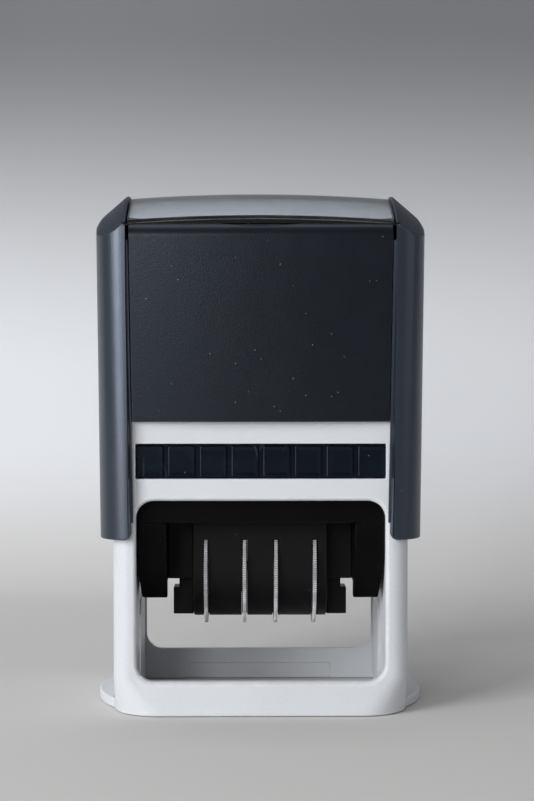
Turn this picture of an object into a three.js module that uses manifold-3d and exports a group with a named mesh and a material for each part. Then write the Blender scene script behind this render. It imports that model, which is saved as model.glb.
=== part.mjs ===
// A self-inking date stamp, in millimetres, +Z up, standing on the XY plane with its front to -Y.
// A white frame stands on the paper. A dark cap slides down over it against a return spring, and the
// printing holder, hung on two pins in the cap's yoke, turns over inside the frame on its way to the paper.
import * as THREE from "three";
import { mergeVertices } from "three/addons/utils/BufferGeometryUtils.js";
import Module from "manifold-3d";

const wasm = await Module();
wasm.setup();

// Gaps shared by all pieces
const seatGap = 0.15; // between pieces fixed to each other
const seamGap = 0.3; // along the seams that show
const runningGap = 0.4; // between pieces that move past each other
const cutOver = 3; // how far a cutting shape runs past what it cuts

// Printing face
const dieWidth = 48;
const dieDepth = 38;
const dieThickness = 1.5;
const textPlateThickness = 0.7;
const textPlateSideMargin = 0.6; // how far the text plate stands out past the die
const textPlateEndMargin = 0.4;
const dieSideBand = 11.3; // printed rubber at each side of the date window

// Holder, measured from the pivot
const holderSideMargin = 4.1; // how far the holder stands out past the die
const holderEndMargin = 1;
const holderPlateBottom = 2.5;
const holderPlateThickness = 2;
const holderSkirtBottom = -0.8;
const holderSkirtWall = 1.6;
const cheekInset = 0.6; // a cheek's edge from the holder's end
const cheekFootDepth = 26;
const cheekFootBelowAxle = 5.4;
const cheekWaistRise = 11.2; // above the cheek's foot
const cheekTaperRise = 9.1;
const cheekTaper = 1.3;

// Date works
const axleRadius = 1.1;
const wheelThickness = 0.75;
const wheelTeeth = 36;
const wheelToothDepth = 0.35;
const wheelProud = 2.2; // how far the wheels stand out of the drum cover
const wheelHubRadius = 6.2;
const innerWheelShare = 0.3087; // place of the middle wheels on the way to the bands' outer end
const bandThickness = 1.2;
const bandNoseRadius = 2.1; // inside the band's turn at the platen
const bandSink = 0.2; // how far the bands lie below the die's face
const bandWallGap = 0.45; // between a band or hub and the wheel beside it
const dateWindowMargin = 0.875; // beside the outer bands
const datePlateSideMargin = 0.6; // the holder plate's opening past the date window
const datePlateEndMargin = 2.8;
const platenEndLength = 2.2;
const platenBaseBottom = 1; // above the pivot
const platenRoom = 0.8; // between the platen and the wheels below it
const drumRoom = 0.9; // between the bands and the drum cover
const drumWheelRoom = 0.375; // between the outer wheels and the drum cover's ends
const drumWall = 2.2;
const drumFlatCut = 1.5; // the drum's flat bottom is this much inside its round
const drumHollowCut = 0.05;
const webDepth = 13;
const webBelowAxle = 1;
const lugDepth = 16;
const lugWidth = 4;
const lugNeckWidth = 2.7;
const lugTopBelowAxle = 3.2;
const lugBottomBelowAxle = 9;
const lugRoom = 1.6; // between a lug and the cheek

// Pivot and cam
const pivotRadius = 2;
const camArm = 9; // from the pivot to the cam stud
const camStudRadius = 1.4;
const camStudLength = 1.6;
const paperGap = 0.2; // left between the die and the paper's plane at full stroke
const padGap = 2.75; // between the die and the ink pad above it

// Frame
const sideWall = 4.7;
const endWall = 2;
const swingRoom = 2.5; // between the turning holder and the end walls
const frameCorner = 4;
const frameLift = 0.4; // the foot pads hold the frame this high
const viewLip = 0.4; // how far the front and back openings stop short of the side walls
const viewBottom = 8;
const viewHeight = 40.4;
const viewCorner = 4;
const barHeight = 5; // between the view opening and the slot above it
const slotLip = 0.3;
const slotHeight = 7.9; // opening for the ink cartridge
const slotCorner = 0.6;
const bridgeAboveSlot = 0.8;
const bridgeThickness = 2;
const frameRim = 5.9; // above the bridge
const footFlare = 2.2;
const footHeight = 8.5;
const footCorner = 10.8;
const footLip = 0.8;
const earOut = 4.8; // how far the ears reach past the side walls
const earRadius = 21.5;
const earThickness = 2;
const railReliefWidth = 36; // shallow recess inside the front and back rails
const railReliefTop = 4;
const railReliefDepth = 0.7;
const springBossGap = 0.7; // between the spring and the boss inside it
const springBossHeight = 4;

// Foot pads
const footPadLength = 9;
const footPadWidth = 3.2;
const footPadThickness = 1.2;
const footPadInset = 10; // from a pad's middle to the frame's face

// Cap
const capWall = 1.9;
const panelAboveSlot = 5;
const panelFillet = 3.25;
const notchWidth = 21.2;
const notchDepth = 0.9;
const domeRiseDepth = 6.57; // how much the dome falls from its middle to the window's front edge
const domeRiseWidth = 1.1; // and to the window's side edge
const domeStep = 1.58; // from the panel's top up to the window's front edge
const roofWall = 1.5;
const ribPlace = 6.5;
const ribThickness = 1.6;
const ribInset = 5;

// Index window and card
const indexInset = 2.8; // from the cap's face to the window's edge
const indexWall = 0.9;
const indexRim = 1.8;
const indexRimWidth = 1.2;
const cardThickness = 0.5;

// Wings
const wingToeGap = 0.8; // between a wing and the ear under it at full stroke
const wingLapBottom = 4.23; // how far a wing covers the frame's front, at its bottom and top
const wingLapTop = 2.9;
const wingWallBottom = 1;
const wingWallTop = 1.9;
const wingBow = 0.7;
const wingProud = 0.3; // how far a wing stands out past the cap's panels
const wingCornerDepth = 8.6;
const wingEndWall = 2.1;
const wingSideInnerCorner = 3.5;
const wingPeakDrop = 0.6; // below the dome's crest
const wingPeakWidth = 0.8;
const wingShoulderInset = 1.1; // where the straight slope of the top ends
const wingShoulderDrop = 4.4; // below the peak, as the next two are
const wingSlopeEndDrop = 6.5;
const wingSideDrop = 11.5;
const wingSlopeOverrun = 1.3;
const wingTopWall = 1.7;
const wingToe = 2;

// Yoke
const yokeArmWall = 1.5;
const yokeArmWidth = 18;
const yokeEyeRadius = 3.5;
const yokeWaistDrop = 2.2; // below the lock buttons, where the arm reaches its full width
const yokePressRoom = 3.3; // between the yoke and the frame's top at full stroke
const yokePlateThickness = 1.8;
const yokeTopRoom = 0.7; // between the yoke's ends and the wings' slope
const springSeatMargin = 0.5; // from the spring to the edge of the yoke's plate
const springPegGap = 0.9; // between the spring and the peg inside it
const springPegLength = 1.5;

// Lock buttons
const lockDrop = 8; // below the frame's top
const lockHeadWidth = 11;
const lockHeadHeight = 7;
const lockStemRadius = 1.5;
const lockTravel = 1.4;
const lockPocketRoom = 0.05;
const lockLand = 1; // between the two lock pockets
const lockSink = 0.2; // how far the head lies below the wing's surface

// Ink cartridge and pad
const cartridgeSink = 1; // from the frame's face
const cartridgeRoof = 1.5;
const cartridgeEndWall = 2;
const stripTiles = 8;
const endTileCut = 0.7; // how much narrower an end tile is than the others
const tileGroove = 1.15;
const tileGrooveDepth = 0.7;
const foamSideMargin = 1; // how far the foam stands out past the die
const foamEndMargin = 1.2;
const foamThickness = 3.8;

// Return spring
const springRadius = 7;
const springWire = 1;
const springTurns = 7;
const springSideCount = 5;
const springStepsPerTurn = 8;

// Colours, roughness and metalness
const whitePlastic = { color: 0xe9e9ee, roughness: 0.45, metalness: 0 };
const darkPlastic = { color: 0x2b2d33, roughness: 0.5, metalness: 0 };
const blackPlastic = { color: 0x131315, roughness: 0.4, metalness: 0 };
const glossBlack = { color: 0x0c0c0e, roughness: 0.15, metalness: 0 };
const greyWheel = { color: 0xc9c9cc, roughness: 0.5, metalness: 0 };
const silverCard = { color: 0xa6a8ad, roughness: 0.45, metalness: 0.2 };
const clearPlastic = { color: 0xd8dade, roughness: 0.1, metalness: 0 };
const steel = { color: 0xb8babd, roughness: 0.3, metalness: 1 };
const rubber = { color: 0x8a3b34, roughness: 0.8, metalness: 0 };
const bandRubber = { color: 0x2a2a2c, roughness: 0.8, metalness: 0 };
const foam = { color: 0x1b1c2c, roughness: 0.95, metalness: 0 };
const padRubber = { color: 0xb9bac0, roughness: 0.85, metalness: 0 };

// Worked out across, from the centre outwards
const dateWindowWidth = dieWidth - 2 * dieSideBand;
const bandsEnd = dateWindowWidth / 2 - dateWindowMargin;
const wheelOuterPlace = bandsEnd + bandWallGap + wheelThickness / 2;
const wheelInnerPlace = bandsEnd * innerWheelShare;
const datePlateWidth = dateWindowWidth + 2 * datePlateSideMargin;
const drumWidth = 2 * (wheelOuterPlace + wheelThickness / 2 + drumWheelRoom + drumWall);
const plateInner = drumWidth / 2 + seamGap;
const lugNeckReach = plateInner + lugNeckWidth;
const lugReach = plateInner + lugWidth;
const cheekInner = lugReach + lugRoom;
const textPlateWidth = dieWidth + 2 * textPlateSideMargin;
const foamWidth = dieWidth + 2 * foamSideMargin;
const cheekOuter = dieWidth / 2 + holderSideMargin;
const frameInnerSide = cheekOuter + runningGap;
const viewWidth = 2 * (frameInnerSide - viewLip);
const slotWidth = 2 * (frameInnerSide - slotLip);
const stripWidth = slotWidth - 2 * seamGap;
const tilePitch = (stripWidth + 2 * endTileCut) / stripTiles;
const frameSide = frameInnerSide + sideWall;
const earReach = frameSide + earOut;
const yokeInner = frameSide + runningGap;
const yokeOuter = yokeInner + yokeArmWall;
const wingSideInner = yokeOuter + seamGap;
const wingOuterBottom = wingSideInner + wingWallBottom;
const wingOuterTop = wingSideInner + wingWallTop;
const wingInnerBottom = frameSide - wingLapBottom;
const wingInnerTop = frameSide - wingLapTop;
const wingShoulder = wingOuterTop - wingShoulderInset;
const wingSlopeEnd = wingOuterTop + wingSlopeOverrun;
const indexHalfWidth = wingInnerTop - seamGap;
const ribWidth = 2 * (indexHalfWidth - ribInset);

// Worked out in the holder, up and down from the pivot
const bandHubRadius = wheelHubRadius + seamGap;
const bandOuterNose = bandNoseRadius + bandThickness;
const drumRadius = bandHubRadius + bandThickness + drumRoom + drumWall;
const wheelRadius = drumRadius + wheelProud;
const axleDrop = wheelRadius + platenRoom - platenBaseBottom;
const cheekFootDrop = axleDrop + cheekFootBelowAxle;
const holderPlateTop = holderPlateBottom + holderPlateThickness;
const dieFace = holderPlateTop + textPlateThickness + dieThickness + 2 * seatGap;
const noseHeight = dieFace - bandSink - bandOuterNose;
const platenRadius = bandNoseRadius - seamGap;
const platenBaseTop = holderPlateBottom - runningGap;

// Worked out from front to back
const dateWindowDepth = 2 * (bandOuterNose + runningGap);
const datePlateDepth = dateWindowDepth + 2 * datePlateEndMargin;
const textPlateDepth = dieDepth + 2 * textPlateEndMargin;
const foamDepth = dieDepth + 2 * foamEndMargin;
const holderDepth = dieDepth + 2 * holderEndMargin;
const cheekDepth = holderDepth - 2 * cheekInset;
const frameInnerFace = Math.hypot(holderDepth / 2, holderPlateTop) + swingRoom;
const frameFace = frameInnerFace + endWall;
const footFace = frameFace + footFlare;
const footPadPlace = frameFace - footPadInset;
const cartridgeDepth = 2 * (frameFace - cartridgeSink);
const capInnerFace = frameFace + runningGap;
const capFace = capInnerFace + capWall;
const wingFace = capFace + wingProud;
const indexHalfDepth = capFace - indexInset;
const trayHalfDepth = indexHalfDepth + seamGap;

// Worked out upwards
const viewTop = viewBottom + viewHeight;
const slotBottom = viewTop + barHeight;
const slotTop = slotBottom + slotHeight;
const cartridgeBottom = slotBottom + seatGap;
const cartridgeBodyTop = cartridgeBottom + foamThickness + seatGap + cartridgeRoof;
const pivotHeight = cartridgeBottom - padGap - dieFace;
const stroke = pivotHeight - dieFace - paperGap;
const bridgeBottom = slotTop + bridgeAboveSlot;
const bridgeTop = bridgeBottom + bridgeThickness;
const frameTop = bridgeTop + frameRim;
const lockHeight = frameTop - lockDrop;
const wingBottom = frameLift + earThickness + stroke + wingToeGap;
const panelBottom = slotTop + panelAboveSlot;
const yokePlateBottom = frameTop + stroke + yokePressRoom;
const yokePlateTop = yokePlateBottom + yokePlateThickness;
const domeCrest = yokePlateTop + yokeTopRoom + wingTopWall + wingShoulderDrop + wingPeakDrop;
const panelTop = domeCrest - domeRiseDepth - domeStep;
const wingPeak = domeCrest - wingPeakDrop;
const wingSideHeight = wingPeak - wingSideDrop;

// Worked out for the spring, the locks, the cam and the bands
const springInner = springRadius - springWire / 2;
const yokePlateWidth = 2 * (springRadius + springWire / 2 + springSeatMargin);
const lockPocketDepth = lockTravel + lockPocketRoom;
const camTrackDepth = camStudLength - runningGap + seamGap;
const betweenDiscs = wheelOuterPlace - wheelInnerPlace - wheelThickness;
const monthBandWidth = 2 * wheelInnerPlace - wheelThickness - seamGap - bandWallGap;
const yearBandWidth = betweenDiscs - seamGap - bandWallGap;
const dayBandWidth = (betweenDiscs - seamGap - 2 * bandWallGap) / 2;
const full = 2 * Math.PI;

// Steps of a curve; an arc takes twice as many
const quarterSteps = 3;
const roundSteps = 10;
const mergeWithin = 0.0001;

// Solids and meshes

function toSolid(geometry) {
  const bare = geometry.index ? geometry.toNonIndexed() : geometry.clone();
  bare.deleteAttribute("normal");
  bare.deleteAttribute("uv");
  const merged = mergeVertices(bare, mergeWithin);
  return new wasm.Manifold(
    new wasm.Mesh({
      numProp: 3,
      vertProperties: merged.attributes.position.array,
      triVerts: new Uint32Array(merged.index.array),
    }),
  );
}

function toGeometry(solid) {
  const mesh = solid.getMesh();
  const geometry = new THREE.BufferGeometry();
  geometry.setAttribute("position", new THREE.BufferAttribute(new Float32Array(mesh.vertProperties), 3));
  geometry.setIndex(new THREE.BufferAttribute(new Uint32Array(mesh.triVerts), 1));
  const faceted = geometry.toNonIndexed();
  faceted.computeVertexNormals();
  return faceted;
}

function joined(solids) {
  return solids.reduce((whole, next) => whole.add(next));
}

function without(solid, cuts) {
  return cuts.reduce((left, cut) => left.subtract(cut), solid);
}

function makeMesh(name, solid, look) {
  const mesh = new THREE.Mesh(toGeometry(solid), new THREE.MeshStandardMaterial(look));
  mesh.name = name;
  return mesh;
}

// A second mesh of the same piece, mirrored to the other side.
function makeMirrored(name, mesh) {
  const copy = new THREE.Mesh(mesh.geometry, mesh.material.clone());
  copy.name = name;
  copy.position.copy(mesh.position);
  copy.position.x = -mesh.position.x;
  copy.scale.x = -1;
  return copy;
}

// Prisms: an outline drawn in YZ, XZ or XY, extruded along the third axis
const prismAxes = {
  x: [new THREE.Vector3(0, 1, 0), new THREE.Vector3(0, 0, 1), new THREE.Vector3(1, 0, 0)],
  y: [new THREE.Vector3(1, 0, 0), new THREE.Vector3(0, 0, 1), new THREE.Vector3(0, -1, 0)],
  z: [new THREE.Vector3(1, 0, 0), new THREE.Vector3(0, 1, 0), new THREE.Vector3(0, 0, 1)],
};

function prism(outline, axis, from, to, steps = quarterSteps) {
  const geometry = new THREE.ExtrudeGeometry(outline, {
    depth: to - from,
    bevelEnabled: false,
    curveSegments: steps,
  });
  geometry.applyMatrix4(new THREE.Matrix4().makeBasis(...prismAxes[axis]));
  const start = axis === "y" ? to : from;
  geometry.translate(axis === "x" ? start : 0, axis === "y" ? start : 0, axis === "z" ? start : 0);
  return toSolid(geometry);
}

function block(x, y, z) {
  const geometry = new THREE.BoxGeometry(x[1] - x[0], y[1] - y[0], z[1] - z[0]);
  geometry.translate((x[0] + x[1]) / 2, (y[0] + y[1]) / 2, (z[0] + z[1]) / 2);
  return toSolid(geometry);
}

function rectangle(left, bottom, right, top, corner = 0) {
  const shape = new THREE.Shape();
  if (corner === 0) {
    shape.moveTo(left, bottom);
    shape.lineTo(right, bottom);
    shape.lineTo(right, top);
    shape.lineTo(left, top);
    return shape;
  }
  shape.moveTo(left + corner, bottom);
  shape.lineTo(right - corner, bottom);
  shape.absarc(right - corner, bottom + corner, corner, -full / 4, 0, false);
  shape.lineTo(right, top - corner);
  shape.absarc(right - corner, top - corner, corner, 0, full / 4, false);
  shape.lineTo(left + corner, top);
  shape.absarc(left + corner, top - corner, corner, full / 4, full / 2, false);
  shape.lineTo(left, bottom + corner);
  shape.absarc(left + corner, bottom + corner, corner, full / 2, (3 * full) / 4, false);
  return shape;
}

function circle(x, y, radius) {
  const shape = new THREE.Shape();
  shape.absarc(x, y, radius, 0, full, false);
  return shape;
}

function polygon(points) {
  return new THREE.Shape(points.map(([x, y]) => new THREE.Vector2(x, y)));
}

// A round bar along X.
function bar(y, z, radius, from, to, steps = roundSteps) {
  return prism(circle(y, z, radius), "x", from, to, steps);
}

// A closed solid through rings of points, each ring anticlockwise seen from the far end.
function loft(rings) {
  const count = rings[0].length;
  const positions = rings.flat().flatMap((point) => [point.x, point.y, point.z]);
  const index = [];
  for (let ring = 0; ring < rings.length - 1; ring += 1) {
    for (let side = 0; side < count; side += 1) {
      const next = (side + 1) % count;
      const low = ring * count;
      const high = low + count;
      index.push(low + side, low + next, high + next);
      index.push(low + side, high + next, high + side);
    }
  }
  const last = (rings.length - 1) * count;
  for (let side = 1; side < count - 1; side += 1) {
    index.push(0, side + 1, side);
    index.push(last, last + side, last + side + 1);
  }
  const geometry = new THREE.BufferGeometry();
  geometry.setAttribute("position", new THREE.Float32BufferAttribute(positions, 3));
  geometry.setIndex(index);
  return toSolid(geometry);
}

function ringAt(shape, height, steps = quarterSteps) {
  const points = shape.getPoints(steps);
  const apart = points.filter((point, index) => {
    const next = points[(index + 1) % points.length];
    return point.distanceTo(next) > mergeWithin;
  });
  return apart.map((point) => new THREE.Vector3(point.x, point.y, height));
}

// The dome that the index window, the card, the roof and the wing tops share

function domeDrop(y) {
  return domeRiseDepth * (y / indexHalfDepth) ** 2;
}

function domeHeight(x, y) {
  return domeCrest - domeDrop(y) - domeRiseWidth * (x / indexHalfWidth) ** 2;
}

// Everything under the dome lowered by a depth, down to a flat base.
function underDome(lowered, halfWidth, halfDepth, base) {
  const columns = 6;
  const rows = 12;
  const rings = [];
  for (let row = 0; row <= rows; row += 1) {
    const y = halfDepth - (2 * halfDepth * row) / rows;
    const ring = [new THREE.Vector3(-halfWidth, y, base), new THREE.Vector3(halfWidth, y, base)];
    for (let column = 0; column <= columns; column += 1) {
      const x = halfWidth - (2 * halfWidth * column) / columns;
      ring.push(new THREE.Vector3(x, y, domeHeight(x, y) - lowered));
    }
    rings.push(ring);
  }
  return loft(rings);
}

// Frame

function footRing(halfWidth, halfDepth, corner, height) {
  return ringAt(rectangle(-halfWidth, -halfDepth, halfWidth, halfDepth, corner), height);
}

function camTrack() {
  const reach = camStudRadius + seamGap;
  const stations = 28;
  const along = Array.from({ length: stations + 1 }, (_, step) => {
    const turn = (Math.PI * step) / stations;
    const drop = (stroke * step) / stations;
    const place = new THREE.Vector2(
      camArm * Math.cos(turn),
      pivotHeight - drop - camArm * Math.sin(turn),
    );
    const heading = new THREE.Vector2(
      -camArm * Math.sin(turn),
      -stroke / Math.PI - camArm * Math.cos(turn),
    ).normalize();
    const side = new THREE.Vector2(-heading.y, heading.x).multiplyScalar(reach);
    return [place.clone().add(side), place.clone().sub(side)];
  });
  const outline = new THREE.Shape([
    ...along.map(([side]) => side),
    ...along.map(([, other]) => other).reverse(),
  ]);
  const to = frameInnerSide + camTrackDepth;
  const from = frameInnerSide - cutOver;
  return joined([
    prism(outline, "x", from, to),
    bar(camArm, pivotHeight, reach, from, to, roundSteps),
    bar(-camArm, pivotHeight - stroke, reach, from, to, roundSteps),
  ]);
}

// What is cut from the right side wall; the left wall has the same, mirrored.
function sideWallCuts() {
  const slotHalf = pivotRadius + seatGap;
  const lowest = pivotHeight - stroke - slotHalf;
  const axleSlot = prism(
    rectangle(-slotHalf, lowest, slotHalf, pivotHeight + slotHalf, slotHalf - mergeWithin),
    "x",
    frameInnerSide - cutOver,
    frameSide + cutOver,
  );
  const half = lockStemRadius + seamGap;
  const channelTop = lockHeight - half - lockLand;
  const channelBottom = lockHeight - stroke - half;
  const pocketFrom = frameSide - lockPocketDepth;
  const channel = block([pocketFrom, frameSide + cutOver], [-half, half], [channelBottom, channelTop]);
  const pocket = bar(0, lockHeight, half, pocketFrom, frameSide + cutOver, roundSteps);
  return [axleSlot, camTrack(), channel, pocket];
}

function mirroredX(solid) {
  const geometry = toGeometry(solid);
  geometry.scale(-1, 1, 1);
  const position = geometry.attributes.position;
  for (let first = 0; first < position.count; first += 3) {
    const a = new THREE.Vector3().fromBufferAttribute(position, first);
    const b = new THREE.Vector3().fromBufferAttribute(position, first + 1);
    position.setXYZ(first, b.x, b.y, b.z);
    position.setXYZ(first + 1, a.x, a.y, a.z);
  }
  return toSolid(geometry);
}

function baseFrame() {
  const tower = prism(
    rectangle(-frameSide, -frameFace, frameSide, frameFace, frameCorner),
    "z",
    footHeight,
    frameTop,
  );
  const foot = loft([
    footRing(frameSide, footFace, footCorner, frameLift),
    footRing(frameSide, footFace, footCorner, frameLift + footLip),
    footRing(frameSide, frameFace, frameCorner, footHeight),
  ]);
  const ears = [1, -1].map((side) =>
    prism(
      circle(side * (earReach - earRadius), 0, earRadius),
      "z",
      frameLift,
      frameLift + earThickness,
      2 * roundSteps,
    ),
  );
  const hollow = [
    block(
      [-frameInnerSide, frameInnerSide],
      [-frameInnerFace, frameInnerFace],
      [-cutOver, bridgeBottom],
    ),
    block(
      [-frameInnerSide, frameInnerSide],
      [-frameInnerFace, frameInnerFace],
      [bridgeTop, frameTop + cutOver],
    ),
  ];
  const through = footFace + cutOver;
  const view = prism(
    rectangle(-viewWidth / 2, viewBottom, viewWidth / 2, viewTop, viewCorner),
    "y",
    -through,
    through,
  );
  const padSlot = prism(
    rectangle(-slotWidth / 2, slotBottom, slotWidth / 2, slotTop, slotCorner),
    "y",
    -through,
    through,
    2,
  );
  const relief = block(
    [-railReliefWidth / 2, railReliefWidth / 2],
    [-frameInnerFace - railReliefDepth, frameInnerFace + railReliefDepth],
    [-cutOver, railReliefTop],
  );
  const padRecesses = footPadPlaces().map(([x, y]) => footPadSolid(seatGap, cutOver, x, y));
  const springBoss = prism(
    circle(0, 0, springInner - springBossGap),
    "z",
    bridgeTop - bridgeThickness / 2,
    bridgeTop + springBossHeight,
    roundSteps,
  );
  const body = without(joined([tower, foot, ...ears]), [
    ...hollow,
    view,
    padSlot,
    relief,
    ...padRecesses,
    ...sideWallCuts(),
    ...sideWallCuts().map(mirroredX),
  ]);
  return body.add(springBoss);
}

// Foot pads

function footPadPlaces() {
  const x = frameInnerSide + sideWall / 2;
  return [
    [x, -footPadPlace],
    [x, footPadPlace],
    [-x, footPadPlace],
    [-x, -footPadPlace],
  ];
}

// A pad, or with a gap and an overrun the recess that takes it.
function footPadSolid(gap, below, x, y) {
  const halfWidth = footPadWidth / 2 + gap;
  const halfLength = footPadLength / 2 + gap;
  const outline = rectangle(
    x - halfWidth,
    y - halfLength,
    x + halfWidth,
    y + halfLength,
    halfWidth - mergeWithin,
  );
  return prism(outline, "z", -below, footPadThickness + gap, 2);
}

// Return spring: one tube round the vertical axis, its ends straight for a wire's width

function springPath() {
  const low = bridgeTop + springWire / 2 + seamGap;
  const high = yokePlateBottom - springWire / 2 - seamGap;
  const steps = springTurns * springStepsPerTurn;
  const centres = [];
  for (let step = 0; step <= steps; step += 1) {
    const angle = (full * step) / springStepsPerTurn;
    const height = low + ((high - low) * step) / steps;
    centres.push(
      new THREE.Vector3(springRadius * Math.cos(angle), springRadius * Math.sin(angle), height),
    );
  }
  const first = centres[0].clone().add(new THREE.Vector3(0, -springWire, 0));
  const last = centres[steps].clone().add(new THREE.Vector3(0, springWire, 0));
  return [first, ...centres, last];
}

function leastGapOf(path) {
  let least = Infinity;
  path.forEach((point, index) => {
    path.slice(index + springStepsPerTurn / 2).forEach((other) => {
      least = Math.min(least, point.distanceTo(other));
    });
  });
  return least - springWire;
}

function returnSpring() {
  const path = springPath();
  console.log("return spring: least gap to itself " + leastGapOf(path).toFixed(2) + " mm");
  const up = new THREE.Vector3(0, 0, 1);
  const rings = path.map((centre, index) => {
    const before = path[Math.max(index - 1, 0)];
    const after = path[Math.min(index + 1, path.length - 1)];
    const heading = after.clone().sub(before).normalize();
    const out = heading.clone().cross(up).normalize();
    const rise = heading.clone().cross(out).normalize();
    return Array.from({ length: springSideCount }, (_, side) => {
      const angle = (full * side) / springSideCount;
      return centre
        .clone()
        .addScaledVector(out, (springWire / 2) * Math.cos(angle))
        .addScaledVector(rise, (springWire / 2) * Math.sin(angle));
    });
  });
  return loft(rings);
}

// Cap shell: front and back panels and an arched roof, open at both sides and below

function wingInner(height) {
  const share = (height - wingBottom) / (panelTop - wingBottom);
  return wingInnerBottom + (wingInnerTop - wingInnerBottom) * share;
}

function betweenWings() {
  const low = panelBottom - cutOver;
  const high = domeCrest + cutOver;
  const outline = polygon([
    [-wingInner(low) + seamGap, low],
    [wingInner(low) - seamGap, low],
    [wingInner(panelTop) - seamGap, panelTop],
    [wingInner(panelTop) - seamGap, high],
    [-wingInner(panelTop) + seamGap, high],
    [-wingInner(panelTop) + seamGap, panelTop],
  ]);
  return prism(outline, "y", -wingFace, wingFace);
}

function fingerNotch() {
  const half = notchWidth / 2;
  const outline = new THREE.Shape();
  outline.moveTo(-half, panelTop);
  outline.quadraticCurveTo(0, panelTop - 2 * notchDepth, half, panelTop);
  outline.lineTo(half, panelTop + cutOver);
  outline.lineTo(-half, panelTop + cutOver);
  return prism(outline, "y", -capFace - cutOver, capFace + cutOver, 2 * quarterSteps);
}

function capShell() {
  const outline = new THREE.Shape();
  outline.moveTo(capFace, panelBottom);
  outline.lineTo(capFace, panelTop - panelFillet);
  outline.absarc(capFace - panelFillet, panelTop - panelFillet, panelFillet, 0, full / 4, false);
  outline.lineTo(-capFace + panelFillet, panelTop);
  outline.absarc(-capFace + panelFillet, panelTop - panelFillet, panelFillet, full / 4, full / 2, false);
  outline.lineTo(-capFace, panelBottom);
  const side = frameSide;
  const roofDepth = indexRim + seatGap;
  const trayBase = panelTop - panelFillet;
  const casing = prism(outline, "x", -side, side);
  const tray = block([-side, side], [-trayHalfDepth, trayHalfDepth], [trayBase, domeCrest]);
  const roof = underDome(roofDepth, side, trayHalfDepth, trayBase);
  const inside = underDome(roofDepth + roofWall, side + cutOver, capInnerFace, panelBottom - cutOver);
  const ribs = [ribPlace, -ribPlace].map((y) =>
    block(
      [-ribWidth / 2, ribWidth / 2],
      [y - ribThickness / 2, y + ribThickness / 2],
      [yokePlateTop + seamGap, domeHeight(ribWidth / 2, ribPlace) - roofDepth - roofWall / 2],
    ),
  );
  const shell = casing.subtract(fingerNotch()).subtract(tray).add(roof).subtract(inside);
  return joined([shell.intersect(betweenWings()), ...ribs]);
}

// Index card and the clear window over it

function indexWindow() {
  const base = panelTop - panelFillet;
  const whole = underDome(0, indexHalfWidth, indexHalfDepth, base);
  const under = underDome(indexRim, indexHalfWidth + cutOver, indexHalfDepth + cutOver, base - cutOver);
  const cardSpace = underDome(
    indexWall,
    indexHalfWidth - indexRimWidth,
    indexHalfDepth - indexRimWidth,
    base - cutOver,
  );
  return without(whole, [under, cardSpace]);
}

function indexCard() {
  const base = panelTop - panelFillet;
  const halfWidth = indexHalfWidth - indexRimWidth - seamGap;
  const halfDepth = indexHalfDepth - indexRimWidth - seamGap;
  const lowered = indexWall + seatGap;
  const under = underDome(
    lowered + cardThickness,
    halfWidth + cutOver,
    halfDepth + cutOver,
    base - cutOver,
  );
  return underDome(lowered, halfWidth, halfDepth, base).subtract(under);
}

// Wings

function wingPlan(height) {
  const share = (height - wingBottom) / (panelTop - wingBottom);
  const inner = wingInner(height);
  const outer = wingOuterBottom + (wingOuterTop - wingOuterBottom) * share;
  const side = wingFace - wingCornerDepth;
  const shape = new THREE.Shape();
  shape.moveTo(inner, -wingFace);
  shape.absellipse(inner, -side, outer - inner, wingCornerDepth, -full / 4, 0, false, 0);
  shape.quadraticCurveTo(outer + 2 * wingBow, 0, outer, side);
  shape.absellipse(inner, side, outer - inner, wingCornerDepth, 0, full / 4, false, 0);
  return ringAt(shape, height, quarterSteps);
}

// The wing seen from the front, lowered towards its front and back ends as the dome falls.
function wingFront(y, lowered, bottom) {
  const drop = domeDrop(y) + lowered;
  const inner = wingInner(wingBottom);
  const shape = new THREE.Shape();
  const toe = lowered === 0 ? wingToe : 0;
  shape.moveTo(wingSlopeEnd + wingBow, bottom);
  shape.lineTo(wingSlopeEnd + wingBow, wingSideHeight - drop);
  shape.lineTo(wingSlopeEnd, wingSideHeight - drop);
  shape.quadraticCurveTo(
    wingSlopeEnd,
    wingPeak - wingSlopeEndDrop - drop,
    wingShoulder,
    wingPeak - wingShoulderDrop - drop,
  );
  shape.lineTo(wingInnerTop + wingPeakWidth, wingPeak - drop);
  shape.lineTo(wingInnerTop - lowered, wingPeak - drop);
  shape.lineTo(wingInnerTop - lowered, panelTop - drop);
  shape.lineTo(inner - lowered, bottom + toe + mergeWithin);
  shape.quadraticCurveTo(inner - lowered, bottom, inner - lowered + toe + mergeWithin, bottom);
  return shape.getPoints(quarterSteps + 1).map((point) => new THREE.Vector3(point.x, y, point.y));
}

function wingTopLoft(lowered, halfDepth, bottom) {
  const rows = 12;
  const rings = [];
  for (let row = 0; row <= rows; row += 1) {
    rings.push(wingFront(halfDepth - (2 * halfDepth * row) / rows, lowered, bottom));
  }
  return loft(rings);
}

function lockOutline(gap) {
  const halfWidth = lockHeadWidth / 2 + gap;
  const halfHeight = lockHeadHeight / 2 + gap;
  return rectangle(
    -halfWidth,
    lockHeight - halfHeight,
    halfWidth,
    lockHeight + halfHeight,
    halfHeight - mergeWithin,
  );
}

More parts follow.
